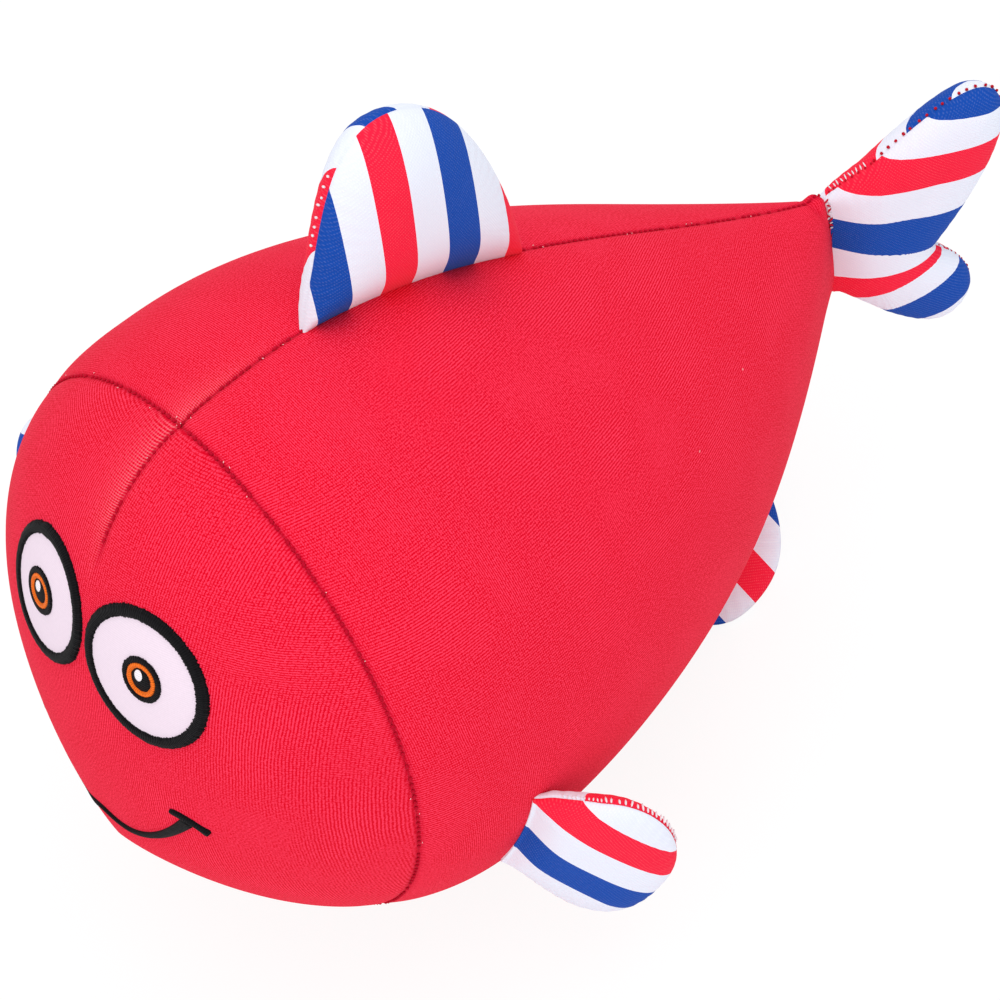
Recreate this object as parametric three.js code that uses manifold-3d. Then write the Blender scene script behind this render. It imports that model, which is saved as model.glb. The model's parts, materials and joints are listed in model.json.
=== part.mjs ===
// Floating fish toy for a dog: a stuffed, sewn body with five stuffed fins that flex at their seams.
// Millimetres, +Z up. The fish looks along -Y, its left side is +X, and it rests on its belly at Z = 0.
import * as THREE from 'three';
import { mergeVertices } from 'three/addons/utils/BufferGeometryUtils.js';
import Module from 'manifold-3d';

// Body, measured from the tip of the nose along the fish and up from its datum line
const BODY_LENGTH = 200;
const BODY_HALF_WIDTH = 63;
const WIDEST_STATION = 55;
const BACK_RISE = 74;
const CREST_STATION = 60;
const BELLY_DROP = 66;
const BELLY_STATION = 78;
const NOSE_DROP = 16;
const TAIL_END_HALF_WIDTH = 1.5;
const TAIL_END_RISE = 6;
const TAIL_END_DROP = 23;
const REST_CUT = 0.5;

// Skin panels
const SKIN = 2.5;
const SEAM_GAP = 0.3;
const FACE_SEAM_STATION = 35;
const FACE_SEAM_RISE = 10;
const FACE_SEAM_LEAN = 5.7;

// Filling
const FIT_GAP = 0.3;
const CORE_LENGTH = 92;
const CORE_RADIUS = 27;
const CORE_ROUND = 12;
const CORE_CLEARANCE = 4.2;
const CORE_RISE = 2;
const SQUEAKER_RADIUS = 15;
const SQUEAKER_WALL = 1.2;
const SQUEAKER_STATION = 33;
const SQUEAKER_RISE = 2;
const REED_RADIUS = 4;
const REED_HOLE_RADIUS = 1.2;
const REED_LENGTH = 7;
const REED_FLANGE = 1.5;
const REED_FLANGE_RADIUS = 6;

// Fins, common to all
const FIN_CLOTH = 1.6;
const FIN_EDGE_HALF = 0.6;
const WADDING_GAP = 1;
const ROOT_GAP = 0.8;
const ROOT_CUT = 0.5;
const ROOT_SLOPE = 0.55;

// Dorsal fin
const DORSAL_FRONT_STATION = 72;
const DORSAL_REAR_STATION = 123;
const DORSAL_HEIGHT = 39;
const DORSAL_PEAK = 16;
const DORSAL_HALF_THICK = 9;
const DORSAL_PUFF_RUN = 17;

// Belly fin, folded to the fish's left where it rests
const BELLY_FIN_FRONT_STATION = 130;
const BELLY_FIN_REAR_STATION = 170;
const BELLY_FIN_HEIGHT = 26.5;
const BELLY_FIN_PEAK = 16;
const BELLY_FIN_HALF_THICK = 4;
const BELLY_FIN_PUFF_RUN = 13;
const BELLY_FIN_LEAN = 70;

// Side fins
const SIDE_FIN_TOP_STATION = 60.5;
const SIDE_FIN_BOTTOM_STATION = 54.5;
const SIDE_FIN_TOP_DROP = 7;
const SIDE_FIN_BOTTOM_DROP = 30;
const SIDE_FIN_LENGTH = 31;
const SIDE_FIN_FLARE = 8;
const SIDE_FIN_HALF_THICK = 5.5;
const SIDE_FIN_PUFF_RUN = 15;
const LEFT_FIN_SWEEP_ANGLE = 53;
const LEFT_FIN_LIFT_ANGLE = -41;
const RIGHT_FIN_SWEEP_ANGLE = -35;
const RIGHT_FIN_LIFT_ANGLE = 12;

// Tail fin: two lobes with a notch between them, turned a little to the left
const TAIL_TURN = 20;
const TAIL_UPPER_REACH = 41;
const TAIL_UPPER_RISE = 33;
const TAIL_LOWER_REACH = 31;
const TAIL_LOWER_DROP = 32;
const TAIL_LOBE_WIDTH = 24;
const TAIL_NOTCH_REACH = 22;
const TAIL_NOTCH_DROP = 9;
const TAIL_HALF_THICK = 7.5;
const TAIL_PUFF_RUN = 12;

// Embroidery on the face
const EYE_SPREAD = 15.2;
const EYE_RISE = 40.2;
const EYE_HALF_WIDTH = 14.4;
const EYE_HALF_HEIGHT = 14.6;
const EYE_BORDER = 2.6;
const EYE_CLOTH = 0.8;
const BORDER_PROUD = 0.5;
const IRIS_RADIUS = 4.8;
const IRIS_RING = 1.3;
const PUPIL_RADIUS = 2;
const GLINT_RADIUS = 0.9;
const THREAD = 0.7;
const SMILE_HALF_WIDTH = 26;
const SMILE_RISE = 18;
const SMILE_DROP = 9;
const SMILE_STROKE = 2.2;
const DIMPLE_LENGTH = 9;

// Fineness of the meshes
const BODY_RINGS = 18;
const BODY_SIDES = 24;
const FIN_STEPS = 18;
const FIN_RINGS = [0.5, 0.78, 0.93, 1];
const WADDING_RINGS = [0.5, 0.8, 1];
const DISC_SIDES = 20;
const SMILE_STEPS = 6;
const NOSE_CROWDING = 1.7;

// Colours
const RED = 0xe8203f;
const STRIPED = 0xdfe0f2;
const WHITE = 0xf0e2ea;
const BLACK = 0x141416;
const ORANGE = 0xe2702a;
const FIBRE = 0xf2f2ee;
const FOAM = 0xd8dde2;
const PLASTIC = 0xe9e9e4;

const wasm = await Module();
wasm.setup();

const radians = THREE.MathUtils.degToRad;
const datumHeight = BELLY_DROP - REST_CUT;
const cutReach = 4 * BODY_LENGTH;
const fish = new THREE.Group();

function solidOf(geometry) {
  const bare = geometry.clone();
  bare.deleteAttribute('normal');
  bare.deleteAttribute('uv');
  const merged = mergeVertices(bare, 1e-5);
  const vertProperties = new Float32Array(merged.attributes.position.array);
  const triVerts = new Uint32Array(merged.index.array);
  return new wasm.Manifold(new wasm.Mesh({ numProp: 3, vertProperties, triVerts }));
}

function geometryOf(solid) {
  const mesh = solid.getMesh();
  const geometry = new THREE.BufferGeometry();
  geometry.setAttribute('position', new THREE.BufferAttribute(new Float32Array(mesh.vertProperties), 3));
  geometry.setIndex(new THREE.BufferAttribute(new Uint32Array(mesh.triVerts), 1));
  geometry.computeVertexNormals();
  return geometry;
}

function addPiece(name, solid, color, roughness) {
  const material = new THREE.MeshStandardMaterial({ color, roughness, metalness: 0 });
  const mesh = new THREE.Mesh(geometryOf(solid), material);
  mesh.name = name;
  fish.add(mesh);
}

// A closed mesh from rings of points: the first ring is closed by a pole, the last by a second pole.
function ringSolid(firstPole, rings, lastPole) {
  const count = rings[0].length;
  const points = [firstPole, ...rings.flat(), lastPole];
  const last = points.length - 1;
  const index = [];
  for (let side = 0; side < count; side += 1) {
    const next = (side + 1) % count;
    index.push(0, 1 + next, 1 + side);
    for (let ring = 0; ring < rings.length - 1; ring += 1) {
      const here = 1 + ring * count;
      const there = here + count;
      index.push(here + side, here + next, there + next);
      index.push(here + side, there + next, there + side);
    }
    const end = 1 + (rings.length - 1) * count;
    index.push(end + side, end + next, last);
  }
  const geometry = new THREE.BufferGeometry().setFromPoints(points);
  geometry.setIndex(index);
  return solidOf(geometry);
}

// A line of the body behind its fullest station: level there, and reaching the tail end at a slope.
function taper(share, full, end, slope) {
  const level = 2 * share ** 3 - 3 * share ** 2 + 1;
  return end + (full - end) * (level + slope * (share ** 3 - share ** 2));
}

// A line of the body from the nose, at 0, to its fullest station, at 1.
function noseCurve(share, power, root) {
  return (1 - (1 - Math.min(1, Math.max(0, share))) ** power) ** (1 / root);
}

// Half width, top, bottom and height of the widest line at a station, drawn in by an inset.
function section(station, inset) {
  const rear = (full) => (station - full) / (BODY_LENGTH - full);
  const front = (full) => (station - inset) / (full - inset);
  const halfWidth = station < WIDEST_STATION
    ? (BODY_HALF_WIDTH - inset) * noseCurve(front(WIDEST_STATION), 2, 2)
    : taper(rear(WIDEST_STATION), BODY_HALF_WIDTH, TAIL_END_HALF_WIDTH, -2) - inset;
  const top = station < CREST_STATION
    ? -NOSE_DROP + (BACK_RISE - inset + NOSE_DROP) * noseCurve(front(CREST_STATION), 3, 2)
    : taper(rear(CREST_STATION), BACK_RISE, TAIL_END_RISE, -1) - inset;
  const bottom = station < BELLY_STATION
    ? -NOSE_DROP - (BELLY_DROP - inset - NOSE_DROP) * noseCurve(front(BELLY_STATION), 3, 1)
    : taper(rear(BELLY_STATION), -BELLY_DROP, -TAIL_END_DROP, -2) + inset;
  const towardsTail = Math.max(0, rear(WIDEST_STATION));
  const middle = bottom + (top - bottom) * (0.53 + 0.17 * towardsTail ** 2);
  return { halfWidth, top, bottom, middle };
}

function place(x, station, rise) {
  return new THREE.Vector3(x, station - BELLY_STATION, rise + datumHeight);
}

// The point of the body's surface at a station and an angle round it: 0 is the left side, a quarter turn the back.
function skinPoint(station, angle, inset) {
  const { halfWidth, top, bottom, middle } = section(station, inset);
  const lift = Math.sin(angle);
  const reach = lift > 0 ? top - middle : middle - bottom;
  return place(halfWidth * Math.cos(angle), station, middle + reach * lift);
}

// The surface point of one side at a station and a rise above the datum line.
function sidePoint(station, rise, side) {
  const { halfWidth, top, bottom, middle } = section(station, 0);
  const reach = rise > middle ? top - middle : middle - bottom;
  const share = (rise - middle) / reach;
  return place(side * halfWidth * Math.sqrt(1 - share ** 2), station, rise);
}

// The body's form, drawn in by an inset or swollen where the inset is negative.
function bodyForm(inset, rings, sides) {
  const thin = Math.max(0, (inset + 0.6 - TAIL_END_HALF_WIDTH) / (BODY_HALF_WIDTH - TAIL_END_HALF_WIDTH));
  const tailShare = Math.sqrt(1 - thin);
  const tailStation = WIDEST_STATION + tailShare * (BODY_LENGTH - WIDEST_STATION) + Math.max(0, -inset);
  const loops = [];
  for (let ring = 1; ring <= rings; ring += 1) {
    const station = inset + (tailStation - inset) * (ring / rings) ** NOSE_CROWDING;
    const loop = [];
    for (let side = 0; side < sides; side += 1) {
      loop.push(skinPoint(station, (-2 * Math.PI * side) / sides, inset));
    }
    loops.push(loop);
  }
  const end = section(tailStation, inset);
  return ringSolid(place(0, inset, -NOSE_DROP), loops, place(0, tailStation, end.middle));
}

function boxSolid(width, length, height, centre, turnX = 0) {
  const geometry = new THREE.BoxGeometry(width, length, height);
  geometry.rotateX(turnX);
  geometry.translate(centre.x, centre.y, centre.z);
  return solidOf(geometry);
}

// Half of space on one side of a plane: a block whose near face passes the point, leaned about X.
function halfSpace(point, normal) {
  const block = new THREE.BoxGeometry(cutReach, cutReach, cutReach);
  block.translate(0, 0, cutReach / 2);
  block.applyQuaternion(new THREE.Quaternion().setFromUnitVectors(new THREE.Vector3(0, 0, 1), normal));
  block.translate(point.x, point.y, point.z);
  return solidOf(block);
}

const leftward = new THREE.Vector3(1, 0, 0);
const upward = new THREE.Vector3(0, 0, 1);
const backward = new THREE.Vector3(0, 1, 0);
const aboveFloor = halfSpace(new THREE.Vector3(0, 0, 0), upward);
const leftOfSeam = halfSpace(new THREE.Vector3(SEAM_GAP / 2, 0, 0), leftward);
const rightOfSeam = halfSpace(new THREE.Vector3(-SEAM_GAP / 2, 0, 0), leftward.clone().negate());

// Skin: a face panel and two side panels, butted at the face seam and along the back and belly
function addSkin() {
  const hollow = bodyForm(SKIN, BODY_RINGS, BODY_SIDES);
  const skin = bodyForm(0, BODY_RINGS, BODY_SIDES).intersect(aboveFloor).subtract(hollow);
  const seamNormal = backward.clone().applyAxisAngle(leftward, -radians(FACE_SEAM_LEAN));
  const seamPoint = place(0, FACE_SEAM_STATION, FACE_SEAM_RISE);
  const step = seamNormal.clone().multiplyScalar(SEAM_GAP / 2);
  const behindSeam = halfSpace(seamPoint.clone().add(step), seamNormal);
  const beforeSeam = halfSpace(seamPoint.clone().sub(step), seamNormal.clone().negate());
  const sides = skin.intersect(behindSeam);
  addPiece('face_panel', skin.intersect(beforeSeam), RED, 0.85);
  addPiece('left_side_panel', sides.intersect(leftOfSeam), RED, 0.85);
  addPiece('right_side_panel', sides.intersect(rightOfSeam), RED, 0.85);
}

// A turned solid about a line along the fish, from a closed profile of radius and distance pairs.
function turnedAlongFish(profile, station, rise) {
  const points = profile.map(([radius, along]) => new THREE.Vector2(radius, along));
  const geometry = new THREE.LatheGeometry(points, DISC_SIDES);
  const centre = place(0, station, rise);
  geometry.translate(centre.x, centre.y, centre.z);
  return solidOf(geometry);
}

// A half circle profile of a ball, from an angle off its front pole to an angle off its rear pole.
function ballProfile(radius, openAngle, steps) {
  const profile = [];
  for (let step = 0; step <= steps; step += 1) {
    const angle = Math.PI - (step / steps) * (Math.PI - openAngle);
    profile.push([Math.abs(radius * Math.sin(angle)), radius * Math.cos(angle)]);
  }
  return profile;
}

function coreSolid(growth) {
  const radius = CORE_RADIUS + growth;
  const half = CORE_LENGTH / 2 + growth;
  const round = CORE_ROUND + growth;
  const profile = [[0, -half], [radius - round, -half], [radius - 0.3 * round, -half + 0.3 * round]];
  profile.push([radius, -half + round], [radius, half - round]);
  profile.push([radius - 0.3 * round, half - 0.3 * round], [radius - round, half], [0, half]);
  const reedEnd = SQUEAKER_STATION + SQUEAKER_RADIUS + FIT_GAP + REED_FLANGE;
  return turnedAlongFish(profile, reedEnd + CORE_CLEARANCE + CORE_LENGTH / 2, CORE_RISE);
}

// Filling: a closed-cell float in the middle, a squeaker behind the nose, and fibre packed round both
function addFilling() {
  const ballSteps = 10;
  const neckAngle = Math.asin((REED_RADIUS + FIT_GAP) / SQUEAKER_RADIUS);
  const inner = SQUEAKER_RADIUS - SQUEAKER_WALL;
  const innerNeck = Math.asin((REED_RADIUS + FIT_GAP) / inner);
  const bulbOutside = ballProfile(SQUEAKER_RADIUS, neckAngle, ballSteps);
  const bulbInside = ballProfile(inner, innerNeck, ballSteps).reverse();
  const bulbProfile = [...bulbOutside, ...bulbInside, bulbOutside[0]];
  const flangeSeat = SQUEAKER_RADIUS + FIT_GAP;
  const reedProfile = [
    [REED_HOLE_RADIUS, flangeSeat - REED_LENGTH],
    [REED_RADIUS, flangeSeat - REED_LENGTH],
    [REED_RADIUS, flangeSeat],
    [REED_FLANGE_RADIUS, flangeSeat],
    [REED_FLANGE_RADIUS, flangeSeat + REED_FLANGE],
    [REED_HOLE_RADIUS, flangeSeat + REED_FLANGE],
    [REED_HOLE_RADIUS, flangeSeat - REED_LENGTH],
  ];
  const pocketProfile = [
    ...ballProfile(SQUEAKER_RADIUS + FIT_GAP, neckAngle, ballSteps),
    [REED_FLANGE_RADIUS + FIT_GAP, flangeSeat],
    [REED_FLANGE_RADIUS + FIT_GAP, flangeSeat + REED_FLANGE + FIT_GAP],
    [0, flangeSeat + REED_FLANGE + FIT_GAP],
  ];
  addPiece('float_core', coreSolid(0), FOAM, 0.9);
  addPiece('squeaker_bulb', turnedAlongFish(bulbProfile, SQUEAKER_STATION, SQUEAKER_RISE), PLASTIC, 0.5);
  addPiece('squeaker_reed', turnedAlongFish(reedProfile, SQUEAKER_STATION, SQUEAKER_RISE), PLASTIC, 0.5);
  const fibre = bodyForm(SKIN + FIT_GAP, BODY_RINGS, BODY_SIDES)
    .subtract(coreSolid(FIT_GAP))
    .subtract(turnedAlongFish(pocketProfile, SQUEAKER_STATION, SQUEAKER_RISE));
  addPiece('left_stuffing', fibre.intersect(leftOfSeam), FIBRE, 1);
  addPiece('right_stuffing', fibre.intersect(rightOfSeam), FIBRE, 1);
}

function distanceToLine(point, line) {
  let nearest = Infinity;
  const foot = new THREE.Vector3();
  const edge = new THREE.Line3();
  for (let step = 0; step < line.length - 1; step += 1) {
    edge.start.set(line[step].x, line[step].y, 0);
    edge.end.set(line[step + 1].x, line[step + 1].y, 0);
    edge.closestPointToPoint(new THREE.Vector3(point.x, point.y, 0), true, foot);
    nearest = Math.min(nearest, foot.distanceTo(new THREE.Vector3(point.x, point.y, 0)));
  }
  return nearest;
}

// A stuffed fin: two cloth faces sewn edge to edge round their outline, with wadding between.
// The outline is a free edge in the fin's own plane, u along the seam and v outwards, closed below the seam.
function addFin({ faces, wadding, freeEdge, heart, halfThick, puffRun, rootSag, seam, across, outward }) {
  const start = freeEdge[0];
  const end = freeEdge[freeEdge.length - 1];
  const halfBase = Math.abs(end.x - start.x) / 2;
  const midBase = (start.x + end.x) / 2;
  const rootSteps = Math.round(FIN_STEPS / 4);
  const rootLine = (u) => -rootSag * ((u - midBase) / halfBase) ** 2;
  const outline = [...freeEdge];
  for (let step = 1; step < rootSteps; step += 1) {
    const u = end.x + ((start.x - end.x) * step) / rootSteps;
    outline.push(new THREE.Vector2(u, rootLine(u)));
  }
  const thickness = (point) => {
    const share = Math.min(1, distanceToLine(point, freeEdge) / puffRun);
    const puff = FIN_EDGE_HALF + (halfThick - FIN_EDGE_HALF) * Math.sqrt(1 - (1 - share) ** 2);
    const root = FIN_EDGE_HALF + ROOT_SLOPE * Math.max(0, point.y - rootLine(point.x));
    return Math.min(puff, root);
  };
  const normal = across.clone().cross(outward);
  const toFish = (point, height) => seam.clone()
    .addScaledVector(across, point.x)
    .addScaledVector(outward, point.y)
    .addScaledVector(normal, height);
  const ringAt = (share, rim) => rim.map((point) => heart.clone().lerp(point, share));
  const lower = (point) => Math.max(SEAM_GAP / 2, thickness(point) - FIN_CLOTH);
  const body = bodyForm(-ROOT_CUT, BODY_RINGS, BODY_SIDES);
  faces.forEach((name, face) => {
    const side = face === 0 ? 1 : -1;
    const turn = (points) => (side > 0 ? points : [...points].reverse());
    const outside = FIN_RINGS.map((share) => turn(ringAt(share, outline)).map((p) => toFish(p, side * thickness(p))));
    const inside = FIN_RINGS.map((share) => turn(ringAt(share, outline)).map((p) => toFish(p, side * lower(p))));
    const loops = [...outside, ...inside.reverse()];
    const solid = ringSolid(toFish(heart, side * thickness(heart)), loops, toFish(heart, side * lower(heart)));
    addPiece(name, solid.subtract(body).intersect(aboveFloor), STRIPED, 0.8);
  });
  // Room for wadding under the cloth at a share of the way from the heart to a point of the outline
  const room = (rim, share) => {
    const outer = FIN_RINGS.findIndex((ring) => ring >= share);
    const from = outer > 0 ? FIN_RINGS[outer - 1] : 0;
    const ends = [from, FIN_RINGS[outer]].map((ring) => lower(heart.clone().lerp(rim, ring)));
    const along = (share - from) / (FIN_RINGS[outer] - from);
    return THREE.MathUtils.lerp(ends[0], ends[1], along) - WADDING_GAP;
  };
  const reaches = outline.map((rim) => {
    let share = 1;
    while (share > 0.1 && room(rim, share) < 0.5) {
      share -= 0.02;
    }
    return share;
  });
  const waddingRing = (share, side) => outline.map((rim, step) => {
    const reach = share * reaches[step];
    return toFish(heart.clone().lerp(rim, reach), side * room(rim, reach));
  });
  const above = WADDING_RINGS.map((share) => waddingRing(share, 1));
  const below = WADDING_RINGS.map((share) => waddingRing(share, -1));
  const loops = [...above, ...below.reverse()];
  const middle = room(outline[0], 0);
  const fill = ringSolid(toFish(heart, middle), loops, toFish(heart, -middle));
  addPiece(wadding, fill.subtract(body), FIBRE, 1);
}

// The free edge of a rounded fin: up a full front edge to the peak, then sloping down to the rear.
function leafEdge(halfBase, height, peak, rootSag) {
  const foot = -rootSag;
  const path = new THREE.Path();
  path.moveTo(-halfBase, foot);
  path.bezierCurveTo(-halfBase + 0.5, 0.55 * height, -halfBase, height, -halfBase + peak, height);
  path.bezierCurveTo(-halfBase + 2 * peak, height, 0.7 * halfBase, 0.4 * height, halfBase, foot);
  return path.getSpacedPoints(FIN_STEPS);
}

// Fins sewn into the seam along the back or the belly: where they stand and how far the seam bows.
function midSeam(frontStation, rearStation, angle) {
  const front = skinPoint(frontStation, angle, 0);
  const rear = skinPoint(rearStation, angle, 0);
  const middle = skinPoint((frontStation + rearStation) / 2, angle, 0);
  const across = rear.clone().sub(front);
  const halfBase = across.length() / 2;
  across.normalize();
  const chordMiddle = front.clone().lerp(rear, 0.5);
  const bow = chordMiddle.sub(middle).projectOnVector(leftward.clone().cross(across)).length();
  return { middle, across, halfBase, bow };
}

function addDorsalFin() {
  const { middle, across, halfBase, bow } = midSeam(DORSAL_FRONT_STATION, DORSAL_REAR_STATION, Math.PI / 2);
  const outward = leftward.clone().cross(across);
  addFin({
    faces: ['dorsal_fin_left_face', 'dorsal_fin_right_face'],
    wadding: 'dorsal_fin_wadding',
    freeEdge: leafEdge(halfBase, DORSAL_HEIGHT, DORSAL_PEAK, bow),
    heart: new THREE.Vector2(-0.15 * halfBase, 0.4 * DORSAL_HEIGHT),
    halfThick: DORSAL_HALF_THICK,
    puffRun: DORSAL_PUFF_RUN,
    rootSag: bow,
    seam: middle.addScaledVector(outward, ROOT_GAP),
    across,
    outward,
  });
}

function addBellyFin() {
  const { middle, across, halfBase, bow } = midSeam(BELLY_FIN_FRONT_STATION, BELLY_FIN_REAR_STATION, -Math.PI / 2);
  const down = across.clone().cross(leftward);
  const outward = down.clone().applyAxisAngle(across, -radians(BELLY_FIN_LEAN));
  addFin({
    faces: ['belly_fin_right_face', 'belly_fin_left_face'],
    wadding: 'belly_fin_wadding',
    freeEdge: leafEdge(halfBase, BELLY_FIN_HEIGHT, BELLY_FIN_PEAK, bow),
    heart: new THREE.Vector2(-0.1 * halfBase, 0.42 * BELLY_FIN_HEIGHT),
    halfThick: BELLY_FIN_HALF_THICK,
    puffRun: BELLY_FIN_PUFF_RUN,
    rootSag: bow,
    seam: middle.addScaledVector(down, ROOT_GAP),
    across,
    outward,
  });
}

// A side fin, sewn into a slit down the side and bent from straight out by its sweep and lift.
function addSideFin(name, side, sweep, lift) {
  const top = sidePoint(SIDE_FIN_TOP_STATION, -SIDE_FIN_TOP_DROP, side);
  const bottom = sidePoint(SIDE_FIN_BOTTOM_STATION, -SIDE_FIN_BOTTOM_DROP, side);
  const midStation = (SIDE_FIN_TOP_STATION + SIDE_FIN_BOTTOM_STATION) / 2;
  const middle = sidePoint(midStation, -(SIDE_FIN_TOP_DROP + SIDE_FIN_BOTTOM_DROP) / 2, side);
  const bow = middle.distanceTo(top.clone().lerp(bottom, 0.5));
  const across = bottom.clone().sub(top);
  const halfBase = across.length() / 2;
  across.normalize();
  const level = Math.cos(radians(lift));
  const bent = new THREE.Vector3(
    side * Math.cos(radians(sweep)) * level,
    Math.sin(radians(sweep)) * level,
    Math.sin(radians(lift)),
  );
  const slip = bent.dot(across);
  const outward = bent.addScaledVector(across, -slip);
  const shear = slip / outward.length();
  outward.normalize();
  const foot = -bow;
  const path = new THREE.Path();
  const wide = halfBase + SIDE_FIN_FLARE;
  path.moveTo(-halfBase, foot);
  path.bezierCurveTo(-halfBase, 0, -wide, 0.3 * SIDE_FIN_LENGTH, -wide, 0.52 * SIDE_FIN_LENGTH);
  path.bezierCurveTo(-wide, 0.86 * SIDE_FIN_LENGTH, -0.5 * wide, SIDE_FIN_LENGTH, 0, SIDE_FIN_LENGTH);
  path.bezierCurveTo(0.5 * wide, SIDE_FIN_LENGTH, wide, 0.86 * SIDE_FIN_LENGTH, wide, 0.52 * SIDE_FIN_LENGTH);
  path.bezierCurveTo(wide, 0.3 * SIDE_FIN_LENGTH, halfBase, 0, halfBase, foot);
  const sheared = (point) => new THREE.Vector2(point.x + shear * Math.max(0, point.y), point.y);
  addFin({
    faces: side > 0 ? [`${name}_front_face`, `${name}_rear_face`] : [`${name}_rear_face`, `${name}_front_face`],
    wadding: `${name}_wadding`,
    freeEdge: path.getSpacedPoints(FIN_STEPS).map(sheared),
    heart: sheared(new THREE.Vector2(0, 0.45 * SIDE_FIN_LENGTH)),
    halfThick: SIDE_FIN_HALF_THICK,
    puffRun: SIDE_FIN_PUFF_RUN,
    rootSag: bow,
    seam: middle.addScaledVector(leftward, side * ROOT_GAP),
    across,
    outward,
  });
}

function addTailFin() {
  const halfBase = (TAIL_END_RISE + TAIL_END_DROP) / 2;
  const middleRise = (TAIL_END_RISE - TAIL_END_DROP) / 2;
  const lobe = TAIL_LOBE_WIDTH / 2;
  const outward = backward.clone().applyAxisAngle(upward, -radians(TAIL_TURN));
  const path = new THREE.Path();
  path.moveTo(-halfBase, 0);
  path.bezierCurveTo(
    -halfBase - lobe, 0.45 * TAIL_UPPER_REACH,
    -TAIL_UPPER_RISE - 0.3 * lobe, TAIL_UPPER_REACH - 0.5 * lobe,
    -TAIL_UPPER_RISE + 0.4 * lobe, TAIL_UPPER_REACH - 0.1 * lobe,
  );
  path.bezierCurveTo(
    -TAIL_UPPER_RISE + lobe, TAIL_UPPER_REACH + 0.2 * lobe,
    TAIL_NOTCH_DROP - 1.3 * lobe, TAIL_UPPER_REACH - 0.3 * lobe,
    TAIL_NOTCH_DROP, TAIL_NOTCH_REACH,
  );
  path.bezierCurveTo(
    TAIL_NOTCH_DROP + 0.5 * lobe, TAIL_NOTCH_REACH + 0.5 * lobe,
    TAIL_LOWER_DROP - 0.8 * lobe, TAIL_LOWER_REACH + 0.3 * lobe,
    TAIL_LOWER_DROP - 0.2 * lobe, TAIL_LOWER_REACH - 0.2 * lobe,
  );
  path.bezierCurveTo(
    TAIL_LOWER_DROP + 0.5 * lobe, TAIL_LOWER_REACH - 0.9 * lobe,
    halfBase + 0.9 * lobe, 0.4 * TAIL_LOWER_REACH,
    halfBase, 0,
  );
  addFin({
    faces: ['tail_fin_left_face', 'tail_fin_right_face'],
    wadding: 'tail_fin_wadding',
    freeEdge: path.getSpacedPoints(1.5 * FIN_STEPS),
    heart: new THREE.Vector2(0, 0.62 * TAIL_NOTCH_REACH),
    halfThick: TAIL_HALF_THICK,
    puffRun: TAIL_PUFF_RUN,
    rootSag: 0,
    seam: place(0, BODY_LENGTH + ROOT_GAP, middleRise),
    across: upward.clone().negate(),
    outward,
  });
}

// A layer that lies on the face, between two heights above the skin.
function faceLayer(low, high) {
  return bodyForm(-high, BODY_RINGS, BODY_SIDES).subtract(bodyForm(-low, BODY_RINGS, BODY_SIDES));
}

// A straight prism through the face, from an oval or round outline at a point of the face.
function facePrism(shape, spot, out) {
  const depth = 2 * EYE_HALF_HEIGHT;
  const geometry = new THREE.ExtrudeGeometry(shape, { depth, bevelEnabled: false, curveSegments: DISC_SIDES / 2 });
  geometry.translate(0, 0, -depth / 2);
  const right = upward.clone().cross(out).normalize();
  const up = out.clone().cross(right);
  geometry.applyMatrix4(new THREE.Matrix4().makeBasis(right, up, out).setPosition(spot));
  return solidOf(geometry);
}

function oval(halfWidth, halfHeight, x = 0, y = 0) {
  const shape = new THREE.Shape();
  shape.absellipse(x, y, halfWidth, halfHeight, 0, 2 * Math.PI, false, 0);
  return shape;
}

function ovalRing(halfWidth, halfHeight, band) {
  const shape = oval(halfWidth, halfHeight);
  shape.holes.push(oval(halfWidth - band, halfHeight - band));
  return shape;
}

// The station of the face's surface at a distance from the middle and a rise above the datum line.
function faceStation(x, rise) {
  let low = 0;
  let high = WIDEST_STATION;
  while (high - low > 1e-4) {
    const station = (low + high) / 2;
    const { halfWidth, top, bottom, middle } = section(station, 0);
    const reach = rise > middle ? top - middle : middle - bottom;
    const outside = (x / halfWidth) ** 2 + ((rise - middle) / reach) ** 2 > 1;
    low = outside ? station : low;
    high = outside ? high : station;
  }
  return high;
}

function facePoint(x, rise) {
  return place(x, faceStation(x, rise), rise);
}

function faceNormal(x, rise) {
  const reach = 1;
  const rightwards = facePoint(x + reach, rise).sub(facePoint(x - reach, rise));
  const upwards = facePoint(x, rise + reach).sub(facePoint(x, rise - reach));
  return rightwards.cross(upwards).normalize();
}

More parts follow.
